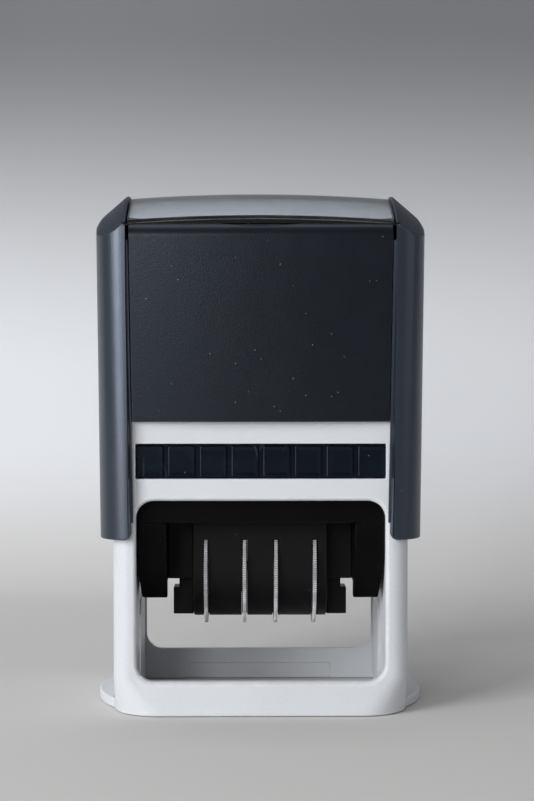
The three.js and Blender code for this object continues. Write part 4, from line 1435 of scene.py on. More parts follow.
    def cam_track(self) -> Shape:
        """The groove that leads the stud while the holder turns over."""
        stations = 48
        ahead, behind = [], []
        for step in range(stations + 1):
            turn = math.pi * step / stations
            y = self.cam_arm * math.cos(turn)
            z = self.pivot_height - self.stroke * step / stations - self.cam_arm * math.sin(turn)
            heading = Vector(
                (-self.cam_arm * math.sin(turn), -self.stroke / math.pi - self.cam_arm * math.cos(turn))
            ).normalized()
            across = Vector((-heading.y, heading.x)) * self.cam_reach
            ahead.append((y + across.x, z + across.y))
            behind.append((y - across.x, z - across.y))
        start, end = self.inner_side - OVER, self.inner_side + self.cam_depth
        track = prism([*ahead, *reversed(behind)], Axis.X, start, end)
        first = rod(Axis.X, (self.cam_arm, self.pivot_height), self.cam_reach, start, end, 32)
        last = rod(Axis.X, (-self.cam_arm, self.pivot_height - self.stroke), self.cam_reach, start, end, 32)
        return combine(track, Fit.JOIN, first, last)

    def foot_pad(self) -> Shape:
        """A small pad with grip ribs under it, about the origin.

        Returns:
            The pad.
        """
        width, length, thickness = self.pad_size
        rib = 0.25
        outline = rounded(-width / 2, -length / 2, width / 2, length / 2, width / 2)
        pad = soften(prism(outline, Axis.Z, rib, thickness), 0.2)
        bar = soften(block((-width * 0.36, width * 0.36), (-0.3, 0.3), (0, rib + 0.1)), 0.12, segments=2)
        return self.patterns.along_row(pad, bar, 6, (0, -2.75, 0), (0, 1.1, 0), self.finishes.foot)


@dataclass
class Spring(Assembly):
    """The return spring between the frame's bridge and the yoke."""

    low: float = 64.4
    high: float = 109.6
    radius: float = 7.0
    wire: float = 1.0
    turns: float = 7.0
    dead_turn: float = 1.0
    steps_per_turn: int = 40
    keep: float = 0.19

    def build(self) -> None:
        """Winds the spring with closed end turns."""
        low, high = self.low + self.wire / 2, self.high - self.wire / 2
        closed = self.wire * 1.08 * self.dead_turn
        total = self.turns + 2 * self.dead_turn
        steps = int(total * self.steps_per_turn)
        places = []
        for step in range(steps + 1):
            turn = total * step / steps
            if turn < self.dead_turn:
                height = low + closed * turn / self.dead_turn
            elif turn > total - self.dead_turn:
                height = high - closed * (total - turn) / self.dead_turn
            else:
                share = (turn - self.dead_turn) / self.turns
                height = low + closed + (high - low - 2 * closed) * share
            angle = 2 * math.pi * turn
            places.append((self.radius * math.cos(angle), self.radius * math.sin(angle), height))
        mesh = bpy.data.meshes.new("path")
        mesh.from_pydata(places, [(n, n + 1) for n in range(steps)], [])
        shape = linked("path", mesh)
        tree, steel = self.patterns.wire, self.finishes.steel
        self.patterns.apply(shape, tree, Radius=self.wire / 2, Sides=14, Finish=steel)
        piece = hand_over(shape, "coil_spring", "frame", "steel", steel, "return_spring")
        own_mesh(piece)


@dataclass
class Cap(Assembly):
    """The dark cap: panels and roof, wings, index card and window, yoke and lock buttons."""

    dome: Dome = field(default_factory=Dome)
    face: float = 27.55
    panel_bow: float = 1.3
    inner_face: float = 25.4
    side: float = 33.2
    panel_bottom: float = 66.3
    panel_top: float = 110.96
    fillet: float = 3.25
    notch_half: float = 10.6
    notch_depth: float = 0.9
    tray_half_depth: float = 24.8
    roof_lowered: float = 1.95
    roof_wall: float = 1.5
    rib_half: float = 25.0
    rib_place: float = 6.5
    rib_half_thickness: float = 0.8
    rib_bottom: float = 112.0
    seam: float = 0.3
    window_wall: float = 0.9
    window_rim: float = 1.8
    window_rim_width: float = 1.2
    window_rim_end: float = 0.2
    card_thickness: float = 0.5
    wing_bottom: float = 39.8
    wing_face: float = 27.6
    wing_inner: Point = (28.97, 30.3)  # at the wing's bottom and at the panel's top
    wing_outer: Point = (36.4, 37.29)
    wing_bow: float = 0.7
    wing_corner: float = 8.6
    wing_inside: float = 35.4
    wing_inside_corner: float = 6.0
    wing_end_wall: float = 2.1
    strip_width: float = 0.45
    strip_root: float = 0.3
    strip_depth: float = 0.6
    strip_gap: float = 0.1
    strip_low: float = 3.8  # clears the frame's flared foot with the cap down
    strip_top: float = 4.0
    strip_softness: float = 0.08
    wing_peak: float = 118.51
    wing_toe: float = 2.0
    shoulder: Point = (36.2, 114.11)
    slope_end: Point = (38.6, 107.01)
    slope_bend: float = 112.01
    peak_width: float = 0.8
    wing_top_wall: float = 1.7
    inner_edge_softness: float = 0.7
    lock_height: float = LOCK
    lock_size: Point = (11.0, 7.0)

    def build(self) -> None:
        """Builds the cap's pieces."""
        hand_over(self.shell(), "cap_panels", "cap", "dark_plastic", self.finishes.panel, "cap_shell")
        wing = ("cap", "wing_plastic", self.finishes.wing, "{}_wing")
        hand_over_both(self.wing(), "grip_wing_{}", *wing)
        hand_over_both(self.seam_strips(), "seam_strips_{}", *wing)
        hand_over(self.yoke(), "yoke_bridge", "cap", "black_plastic", self.finishes.black, "yoke")
        hand_over(self.card(), "silver_card_insert", "cap", "silver_card", self.finishes.card, "index_card")
        cover = ("index_cover", "clear_plastic")
        hand_over(self.window(), "clear_window", *cover, self.finishes.clear, "index_window")
        hand_over(self.rim(), "window_rim", *cover, self.finishes.black, "index_window")
        key, finish = self.lock_button(), self.finishes.button
        hand_over_both(key, "lock_key_{}", "lock_{}", "button_plastic", finish, "lock_button_{}")

    def inner_at(self, height: float) -> float:
        """Where a wing's inner edge is at a height."""
        share = (height - self.wing_bottom) / (self.panel_top - self.wing_bottom)
        return self.wing_inner[0] + (self.wing_inner[1] - self.wing_inner[0]) * share

    def shell(self) -> Shape:
        """Front and back panels with the arched roof, open at both sides and below."""
        face, top, fillet = self.face, self.panel_top, self.fillet
        whole = loft([self.shell_ring(self.side * (station / 12 - 1)) for station in range(25)])
        half = self.notch_half
        dip = curve_to((-half, top), (0, top - 2 * self.notch_depth), (half, top), 24)
        notch = prism([*dip, (half, top + OVER), (-half, top + OVER)], Axis.Y, -face - OVER, face + OVER)
        base = top - fillet
        side, deep = self.side, self.tray_half_depth
        tray = block((-side, side), (-deep, deep), (base, self.dome.crest + OVER))
        combine(whole, Fit.CUT, notch, tray)
        combine(whole, Fit.JOIN, self.dome.under(self.roof_lowered, side, deep, base))
        inside = self.dome.under(
            self.roof_lowered + self.roof_wall, self.side + OVER, self.inner_face, self.panel_bottom - OVER
        )
        combine(whole, Fit.CUT, inside)
        low, high = self.panel_bottom - OVER, self.dome.crest + OVER
        edges = [(self.inner_at(z) - self.strip_width - self.strip_gap, z) for z in (low, top)]
        edges.append((edges[1][0], high))
        between = [*edges, *[(-x, z) for x, z in reversed(edges)]]
        combine(whole, Fit.KEEP, prism(between, Axis.Y, -self.wing_face, self.wing_face))
        soften(whole, 0.28)
        ribs = []
        for y in (self.rib_place, -self.rib_place):
            rib_top = self.dome.height(self.rib_half, self.rib_place)
            rib_top = rib_top - self.roof_lowered - self.roof_wall / 2
            thick = self.rib_half_thickness
            rib = block((-self.rib_half, self.rib_half), (y - thick, y + thick), (self.rib_bottom, rib_top))
            ribs.append(soften(rib, 0.25, segments=2))
        return combine(whole, Fit.JOIN, *ribs)

    def shell_ring(self, x: float) -> list[Place]:
        """The outline of the two panels and the roof between them, across one place."""
        top, fillet = self.panel_top, self.fillet
        face = self.face - self.panel_bow * (x / self.side) ** 2
        outline = [
            (face, self.panel_bottom),
            *arc((face - fillet, top - fillet), fillet, 0, 90, 14),
            *arc((fillet - face, top - fillet), fillet, 90, 180, 14),
            (-face, self.panel_bottom),
        ]
        return [placed(Axis.X, point, x) for point in outline]

    def window(self) -> Shape:
        """The domed clear sheet of the index window."""
        dome, base = self.dome, self.panel_top - self.fillet
        width, depth = dome.half_width, dome.half_depth
        whole = dome.under(0, width, depth, base)
        under = dome.under(self.window_wall - 0.05, width + OVER, depth + OVER, base - OVER)
        return soften(combine(whole, Fit.CUT, under), 0.25)

    def rim(self) -> Shape:
        """The dark rim that the clear sheet is bonded to."""
        dome, base = self.dome, self.panel_top - self.fillet
        width, depth, inset = dome.half_width - 0.05, dome.half_depth - 0.05, self.window_rim_width
        end = self.window_rim_end
        whole = dome.under(self.window_wall, width, depth, base)
        under = dome.under(self.window_rim, width + OVER, depth + OVER, base - OVER)
        height = (base - OVER, dome.crest + OVER)
        space = block((end - width, width - end), (inset - depth, depth - inset), height)
        combine(whole, Fit.CUT, under, space)
        return soften(whole, 0.15, segments=2)

    def card(self) -> Shape:
        """The silver card under the window."""
        dome, base = self.dome, self.panel_top - self.fillet
        width = dome.half_width - self.window_rim_end - 0.15
        depth = dome.half_depth - self.window_rim_width - self.seam
        lowered = self.window_wall + 0.15
        whole = dome.under(lowered, width, depth, base)
        under = dome.under(lowered + self.card_thickness, width + OVER, depth + OVER, base - OVER)
        combine(whole, Fit.CUT, under)
        return soften(whole, 0.12, segments=2)

    def wing_ring(self, height: float) -> list[Place]:
        """A wing's plan at a height."""
        share = (height - self.wing_bottom) / (self.panel_top - self.wing_bottom)
        inner = self.inner_at(height)
        outer = self.wing_outer[0] + (self.wing_outer[1] - self.wing_outer[0]) * share
        side = self.wing_face - self.wing_corner
        quarter = [math.radians(90 * step / 20) for step in range(21)]
        front = [
            (inner + (outer - inner) * math.sin(a), -side - self.wing_corner * math.cos(a)) for a in quarter
        ]
        bow = curve_to((outer, -side), (outer + 2 * self.wing_bow, 0), (outer, side), 24)
        back = [(x, -y) for x, y in reversed(front)]
        return [(x, y, height) for x, y in apart([*front, *bow, *back])]

    def wing_front(self, y: float, lowered: float, bottom: float) -> list[Place]:
        """A wing's face seen from the front, at a depth.

        Args:
            y: The depth.
            lowered: How far the outline is drawn in.
            bottom: Its lowest height.

        Returns:
            The outline in space.
        """
        drop = self.dome.drop(y) + lowered
        inner, top_inner = self.inner_at(self.wing_bottom) - lowered, self.wing_inner[1] - lowered
        toe = self.wing_toe if lowered == 0 else 0.001
        peak, far = self.wing_peak - drop, self.slope_end[0] + self.wing_bow
        outline = [
            (far, bottom), (far, self.slope_end[1] - drop),
            *curve_to(
                (self.slope_end[0], self.slope_end[1] - drop),
                (self.slope_end[0], self.slope_bend - drop), (self.shoulder[0], self.shoulder[1] - drop),
                14,
            ),
            (self.wing_inner[1] + self.peak_width, peak), (top_inner, peak),
            (top_inner, self.panel_top - drop),
            *curve_to((inner, bottom + toe), (inner, bottom), (inner + toe, bottom), 10),
        ]
        return [(x, y, z) for x, z in outline]

    def wing_loft(self, lowered: float, half_depth: float, bottom: float) -> Shape:
        """Lofts a wing's front outline from back to front."""
        rows = 40
        depths = [half_depth - 2 * half_depth * row / rows for row in range(rows + 1)]
        return loft([self.wing_front(y, lowered, bottom) for y in depths])

    def wing(self) -> Shape:
        """The right grip wing."""
        high, face = self.wing_peak + OVER, self.wing_face + OVER
        whole = loft([self.wing_ring(level) for level in (self.wing_bottom - OVER, high)])
        combine(whole, Fit.KEEP, self.wing_loft(0, face, self.wing_bottom))
        half = self.wing_face - self.wing_end_wall
        outline = rounded(-self.side, -half, self.wing_inside, half, self.wing_inside_corner)
        cavity = prism(outline, Axis.Z, self.wing_bottom - OVER, high)
        combine(cavity, Fit.KEEP, self.wing_loft(self.wing_top_wall, face, self.wing_bottom - OVER))
        reach = self.wing_outer[1] + self.wing_bow + OVER
        hole = prism(self.lock_outline(self.seam), Axis.X, self.side, reach)
        combine(whole, Fit.CUT, cavity, hole)

        def at_inner_edge(place: Vector) -> bool:
            inner = self.inner_at(min(place.z, self.panel_top))
            return abs(place.y) > self.wing_face - NEAR and place.x < inner + 0.1

        def outside(place: Vector) -> bool:
            return place.z < self.wing_bottom + self.wing_toe + NEAR or place.z > self.panel_top - 6

        soften(whole, self.inner_edge_softness, at_inner_edge, segments=5, sharp=50)
        return soften(whole, 0.3, outside, sharp=46)

    def seam_strips(self) -> Shape:
        """The sunk strips along the right wing's inner edges, which close its seams with the panels."""
        low, high = self.wing_bottom + self.strip_low, self.panel_top - self.strip_top
        near, far = self.inner_at(low), self.inner_at(high)
        wide, root = self.strip_width, self.strip_root
        outline = [(near - wide, low), (near + root, low), (far + root, high), (far - wide, high)]
        behind = self.wing_face - self.wing_end_wall
        front = prism(outline, Axis.Y, -behind - self.strip_depth, -behind)
        back = prism(outline, Axis.Y, behind, behind + self.strip_depth)
        return soften(combine(front, Fit.JOIN, back), self.strip_softness, segments=2)

    def lock_outline(self, gap: float) -> list[Point]:
        """The outline of a lock button's head, or with a gap that of its hole."""
        half_width, half_height = self.lock_size[0] / 2 + gap, self.lock_size[1] / 2 + gap
        z = self.lock_height
        return rounded(-half_width, z - half_height, half_width, z + half_height, half_height, 14)

    def lock_button(self) -> Shape:
        """The right lock button: a ribbed head on a stem.

        Returns:
            The button.
        """
        back, face, stem_end, stem_radius = 34.9, 37.02, 33.6, 1.5
        head = prism(self.lock_outline(0), Axis.X, back, face)
        soften(head, 0.7, lambda place: place.x > face - NEAR, segments=4)
        stem = rod(Axis.X, (0, self.lock_height), stem_radius, stem_end, back + 0.15, 32)
        combine(head, Fit.JOIN, stem)
        rib = soften(block((-0.3, 0.17), (-0.35, 0.35), (-2.0, 2.0)), 0.14, segments=2)
        start, step = (face, -2.6, self.lock_height), (0, 1.3, 0)
        return self.patterns.along_row(head, rib, 5, start, step, self.finishes.button)

    def yoke(self) -> Shape:
        """The bridge inside the cap, whose arms carry the pivot pins."""
        pivot, eye, half = PIVOT, 3.5, 9.0
        waist, low, high, plate_half = 59.8, 109.91, 111.71, 8.0
        inner, outer = 33.6, 35.1
        across = (-40, 40)  # beyond both arms
        outline = [
            *arc((0, pivot), eye, 180, 360, 16), (half, waist), (half, low), (plate_half, high),
            (-plate_half, high), (-half, low), (-half, waist),
        ]
        arms = [prism(outline, Axis.X, *ends) for ends in ((inner, outer), (-outer, -inner))]
        for arm in arms:
            hole = rod(Axis.X, (0, pivot), PIVOT_BORE, *across, 40)
            combine(arm, Fit.CUT, hole, prism(self.lock_outline(self.seam), Axis.X, *across))
        plate = block((-outer, outer), (-plate_half, plate_half), (low, high))
        combine(plate, Fit.JOIN, *arms)
        soften(plate, 0.22, segments=2)
        peg = soften(rod(Axis.Z, (0, 0), 5.6, low - 1.5, low + 0.9), 0.3)
        return combine(plate, Fit.JOIN, peg)


@dataclass
class Cartridge(Assembly):
    """The ink tray with a tiled strip at each end, and its foam pad."""

    half_width: float = 27.9
    half_depth: float = 24.0
    bottom: float = 53.55
    body_top: float = 59.0
    end_top: float = 61.0
    end_wall: float = 2.0
    tile_depth: float = 0.7
    tiles: int = 8
    tile_pitch: float = 7.14
    tile_width: float = 6.25
    foam: tuple[float, float, float] = (50.0, 40.4, 3.8)

    def build(self) -> None:
        """Builds the tray and the pad."""
        tray = self.tray()
        foam, gloss = self.finishes.foam, self.finishes.gloss
        hand_over(tray, "ink_tray", "cartridge", "gloss_black_plastic", gloss, "ink_cartridge")
        pad = hand_over(self.pad(), "foam_pad", "cartridge", "pad_foam", foam, "ink_pad", crease=80)

    def tray(self) -> Shape:
        """The tray, open below, with its two strips of tiles.

        Returns:
            The tray.
        """
        wide, deep, low = self.half_width, self.half_depth, self.bottom
        back = deep - self.tile_depth
        whole = block((-wide, wide), (-back, back), (low, self.body_top))
        for sign in (1, -1):
            y = sorted((sign * back, sign * (deep - self.end_wall)))
            combine(whole, Fit.JOIN, block((-wide, wide), (y[0], y[1]), (low, self.end_top)))
        gap = 0.15  # between the foam and the tray
        half_x, half_y = self.foam[0] / 2 + gap, self.foam[1] / 2 + gap
        room = block((-half_x, half_x), (-half_y, half_y), (low - OVER, low + self.foam[2] + gap))
        combine(whole, Fit.CUT, room)
        soften(whole, 0.22, segments=2)
        middle = (low + self.end_top) / 2
        half_height = (self.end_top - low) / 2 - 0.1
        for sign in (1, -1):
            start = (-self.tile_pitch * (self.tiles - 1) / 2, sign * back, middle)
            tile = self.tile(self.tile_width / 2, half_height, sign)
            step = (self.tile_pitch, 0, 0)
            self.patterns.along_row(whole, tile, self.tiles, start, step, self.finishes.gloss)
        return whole

    def tile(self, half_width: float, half_height: float, sign: int) -> Shape:
        """One tile about the middle of its foot, with a rounded border and a slightly hollow face.

        Args:
            half_width: Half its width.
            half_height: Half its height.
            sign: Which way it faces, -1 to the front.

        Returns:
            The tile.
        """
        rises = (-0.25, 0.32, 0.5, 0.62, 0.69, 0.7, 0.66, 0.64)
        insets = (0.0, 0.0, 0.05, 0.15, 0.3, 0.45, 0.75, 1.2)
        rings = []
        for rise, inset in zip(rises, insets):
            wide, high = half_width - inset, half_height - inset
            outline = rounded(-wide, -high, wide, high, max(0.15, 0.45 - inset), 4)
            rings.append([(x, sign * rise, z) for x, z in outline])
        return loft(rings)

    def pad(self) -> Shape:
        """The foam pad: crowned below, its sides drawn in a little between the corners."""
        width, depth, thick = self.foam
        outline = self._pad_outline(width / 2, depth / 2, 1.2)
        shrinks = [0.02, 0.15, 0.3, 0.45, 0.6, 0.75, 0.88, 0.96]
        rings = [self._pad_ring(outline, share, 0.0, self.bottom + 0.22 * share**4) for share in shrinks]
        for layer in range(9):
            t = layer / 8
            tuck = 0.42 * (2 * t - 1) ** 6 + 0.16 * math.sin(math.pi * t)
            rings.append(self._pad_ring(outline, 1.0, tuck, self.bottom + 0.3 + (thick - 0.45) * t))
        top = self.bottom + thick
        rings += [self._pad_ring(outline, share, 0.0, top - 0.12 * share**4) for share in reversed(shrinks)]
        return loft(rings)

    @staticmethod
    def _pad_ring(outline: Sequence[Point], share: float, tuck: float, height: float) -> list[Place]:
        """The pad's outline at a height, shrunk by a share and drawn in by a length."""
        ring = []
        for x, y in outline:
            pore = 0.05 * math.sin(x * 2.1 + 1.0) * math.sin(y * 2.7)
            pull = 1 - tuck / max(abs(x), abs(y), 1.0)
            ring.append((x * pull * share, y * pull * share, height + max(0.0, pore)))
        return ring

    @staticmethod
    def _pad_outline(half_x: float, half_y: float, corner: float) -> list[Point]:
        """A rounded rectangle with points along its straight sides too."""
        made: list[Point] = []
        corners = rounded(-half_x, -half_y, half_x, half_y, corner, 6)
        count = len(corners) // 4
        for quarter in range(4):
            made.extend(corners[quarter * count : (quarter + 1) * count])
            start, end = made[-1], corners[((quarter + 1) * count) % len(corners)]
            steps = 40
            for step in range(1, steps):
                t = step / steps
                made.append((start[0] + (end[0] - start[0]) * t, start[1] + (end[1] - start[1]) * t))
        return apart(made)


@dataclass
class Holder(Assembly):
    """The black holder that turns over, its plates, die, drum cover and pins."""

    pivot: float = PIVOT
    half_width: float = 28.1
    half_depth: float = 20.0
    plate: Point = (46.3, 48.3)
    skirt_bottom: float = 43.0
    skirt_wall: float = 1.6
    cheek_inner: float = 21.5
    cheek_edge: float = 19.4
    cheek_foot: Point = (12.6, 25.0)
    cheek_wall: float = 1.6
    cheek_back_inner: float = 23.3
    cheek_hollow_top: float = 28.75
    cheek_waist: float = 36.8
    taper: float = 0.85
    taper_top: float = 31.5
    opening: Point = (13.3, 6.5)
    stud_arm: float = 9.0
    stud_radius: float = 1.4
    stud_reach: float = 29.7
    bore: float = PIVOT_BORE
    window: Point = (12.7, 3.7)
    text_plate: tuple[float, float, float, float] = (24.6, 19.4, 48.45, 49.15)
    die: tuple[float, float, float, float] = (24.0, 19.0, 49.3, 50.8)
    relief: float = 0.6
    axle: float = AXLE
    drum_half: float = 15.6
    drum_radius: float = 11.65
    drum_draft: float = 0.1
    drum_wall: float = 2.2
    drum_flat: float = 0.05
    drum_top: float = 46.15
    web_sides: tuple[float, float, float, float] = (15.7, 19.05, 20.4, 21.45)  # inner, neck, lug, web
    web_heights: tuple[float, float, float] = (20.0, 26.3, 28.75)  # lug's foot and top, web's foot
    lug_half_depth: float = 3.3
    wheel_places: tuple[float, ...] = WHEEL_PLACES
    slot_half: float = 0.675
    slot_radius: float = 13.75

    def build(self) -> None:
        """Builds the holder's pieces, without the date works."""
        black, plastic = self.finishes.black, ("holder", "black_plastic")
        hand_over(self.carrier(), "turning_holder", *plastic, self.finishes.holder, "plate_holder")
        hand_over(self.thin_plate(), "rubber_carrier", *plastic, black, "text_plate")
        rubber = self.rubber()
        hand_over(rubber, "printing_rubber", "holder", "die_rubber", self.finishes.die, "rubber_die")
        hand_over(self.drum(), "band_drum_cover", *plastic, black, "drum_cover")
        hand_over_both(self.side_web(), "side_web_{}", *plastic, black, "{}_side_plate")
        hand_over_both(self.pin(), "pivot_rod_{}", "holder", "steel", self.finishes.steel, "pivot_pin_{}")

    def carrier(self) -> Shape:
        """The plate, its skirts and the two cheeks."""
        wide, deep, (low, high) = self.half_width, self.half_depth, self.plate
        whole = block((-wide, wide), (-deep, deep), (low, high))
        skirts = []
        for sign in (1, -1):
            y = sorted((sign * deep, sign * (deep - self.skirt_wall)))
            skirts.append(block((-wide, wide), (y[0], y[1]), (self.skirt_bottom, high)))
        foot, foot_z = self.cheek_foot
        edge = self.cheek_edge
        profile = [
            (-foot, foot_z), (foot, foot_z), (edge, self.cheek_waist), (edge, high), (-edge, high),
            (-edge, self.cheek_waist),
        ]
        front = [
            (self.cheek_inner, foot_z - OVER), (wide - self.taper, foot_z - OVER),
            (wide - self.taper, foot_z), (wide, self.taper_top), (wide, high), (self.cheek_inner, high),
        ]
        cheek = prism(profile, Axis.X, self.cheek_inner, wide)
        combine(cheek, Fit.KEEP, prism(front, Axis.Y, -deep, deep))
        soften(cheek, 0.45, lambda place: place.z < foot_z + NEAR, segments=4)
        combine(whole, Fit.JOIN, *skirts, cheek, mirrored(cheek))
        half_x, half_y = self.opening
        combine(whole, Fit.CUT, block((-half_x, half_x), (-half_y, half_y), (low - OVER, high + OVER)))
        soften(whole, 0.3, lambda place: place.z > foot_z + 1.2)
        hollows = self.cheek_hollows()
        combine(whole, Fit.CUT, *hollows, *[mirrored(hollow) for hollow in hollows])
        parts, bores = [], []
        for sign in (1, -1):
            x = sorted((sign * (wide - 0.3), sign * self.stud_reach))
            stud = rod(Axis.X, (self.stud_arm, self.pivot), self.stud_radius, x[0], x[1], 40)
            parts.append(soften(stud, 0.2, segments=2))
            x = sorted((sign * (self.cheek_inner - OVER), sign * (wide + OVER)))
            bores.append(rod(Axis.X, (0, self.pivot), self.bore, x[0], x[1], 40))
        combine(whole, Fit.JOIN, *parts)
        return combine(whole, Fit.CUT, *bores)

    def cheek_hollows(self) -> list[Shape]:
        """The hollow of the right cheek's foot, and the opening of its back wall."""
        foot, foot_z = self.cheek_foot
        front, low, high = foot - self.cheek_wall, foot_z - OVER, self.cheek_hollow_top
        outer = self.half_width - self.taper - self.cheek_wall
        hollow = block((self.cheek_inner - OVER, outer), (-front, front), (low, high))
        back = (front - OVER, foot + 2 * OVER)
        opening = block((self.cheek_inner - OVER, self.cheek_back_inner), back, (low, high))
        return [hollow, opening]

    def windowed(self, half_x: float, half_y: float, low: float, high: float) -> Shape:
        """A flat slab with the date window through it."""
        whole = prism(rounded(-half_x, -half_y, half_x, half_y, 0.8, 4), Axis.Z, low, high)
        wide, deep = self.window
        return combine(whole, Fit.CUT, block((-wide, wide), (-deep, deep), (low - OVER, high + OVER)))

    def thin_plate(self) -> Shape:
        """The plate that the rubber is stuck to."""
        half_x, half_y, low, high = self.text_plate
        return soften(self.windowed(half_x, half_y, low, high), 0.12, segments=2)

    def rubber(self) -> Shape:
        """The printing rubber: a plain border, a frame round the date and blank rules.

        Returns:
            The rubber.
        """
        half_x, half_y, low, high = self.die
        floor = high - self.relief
        whole = soften(self.windowed(half_x, half_y, low, floor), 0.15, segments=2)
        sink = 0.1
        border = self._ring(half_x - 0.9, half_y - 0.9, 1.1, floor - sink, high)
        date = self._ring(self.window[0] + 1.9, self.window[1] + 1.9, 0.6, floor - sink, high)
        combine(whole, Fit.JOIN, border, date)
        pitch, row_pitch = 3.5, 2.6
        for first_row in (8.2, -13.4):
            dash = prism(rounded(-1.35, -0.55, 1.35, 0.55, 0.3, 3), Axis.Z, floor - sink, high)
            soften(dash, 0.1, segments=2)
            for row in range(3):
                count = 11 - 2 * (row % 2)
                start = (-pitch / 2 * (count - 1), first_row + row_pitch * row, 0)
                self.patterns.along_row(whole, copied(dash), count, start, (pitch, 0, 0), self.finishes.die)
            discard(dash)
        return whole

    @staticmethod
    def _ring(half_x: float, half_y: float, width: float, low: float, high: float) -> Shape:
        """A raised rectangular frame."""
        ring = prism(rounded(-half_x, -half_y, half_x, half_y, 0.7, 4), Axis.Z, low, high)
        inner_x, inner_y = half_x - width, half_y - width
        hole = prism(rounded(-inner_x, -inner_y, inner_x, inner_y, 0.5, 4), Axis.Z, low - OVER, high + OVER)
        combine(ring, Fit.CUT, hole)
        return soften(ring, 0.12, lambda place: place.z > high - 0.01, segments=2)

    def drum_outline(self, radius: float, flat: float) -> list[Point]:
        """The drum's outline, round below with a flat foot."""
        cut = math.degrees(math.asin((radius - flat) / radius))
        return [
            (radius - self.drum_draft, self.drum_top), (self.drum_draft - radius, self.drum_top),
            *arc((0, self.axle), radius, 180, 180 + cut, 28),
            *arc((0, self.axle), radius, 360 - cut, 360, 28),
        ]

    def drum(self) -> Shape:
        """The cover over the bands, slotted for the four wheels."""
        half, wall = self.drum_half, self.drum_half - self.drum_wall
        whole = prism(self.drum_outline(self.drum_radius, self.drum_flat), Axis.X, -half, half)
        soften(whole, 0.3, segments=3)
        inner = self.drum_radius - self.drum_wall
        hollow = prism(self.drum_outline(inner, 0.05), Axis.X, -wall, wall)
        top = block((-wall, wall), (-inner, inner), (self.pivot, self.drum_top + OVER))
        slots = []
        for place in self.wheel_places:
            low, high = place - self.slot_half, place + self.slot_half
            slots.append(rod(Axis.X, (0, self.axle), self.slot_radius, low, high, 128))
        bore = rod(Axis.X, (0, self.axle), AXLE_BORE, -half - OVER, half + OVER, 32)
        notch = block((-half - OVER, half + OVER), (-1.95, 1.95), (44.65, self.drum_top + OVER))
        return combine(whole, Fit.CUT, hollow, top, *slots, bore, notch)

    def side_web(self) -> Shape:
        """The right web between the drum and the cheek, with its lug."""
        inner, neck_outer, lug_outer, web_outer = self.web_sides
        lug_low, lug_high, web_low = self.web_heights
        half = self.lug_half_depth
        web = block((inner, web_outer), (-6.5, 6.5), (web_low, self.drum_top))
        neck = block((inner, neck_outer), (-half, half), (lug_high - 0.2, web_low + 0.2))
        lug = block((inner, lug_outer), (-half, half), (lug_low, lug_high))
        combine(web, Fit.JOIN, neck, lug)
        soften(web, 0.2, segments=3)
        return combine(web, Fit.CUT, rod(Axis.X, (0, self.axle), AXLE_BORE, 12, 18.75, 32))

    def pin(self) -> Shape:
        """The right pivot pin, with a groove and rounded ends."""
        radius = 2.0
        profile = [
            (21.8, radius - 0.5), (21.95, radius - 0.2), (22.3, radius), (31.2, radius),
            (31.3, radius - 0.25), (32.0, radius - 0.25), (32.1, radius), (34.5, radius),
            (34.82, radius - 0.22), (34.95, radius - 0.6),
        ]
        return turned(Axis.X, (0, self.pivot), profile, 48)


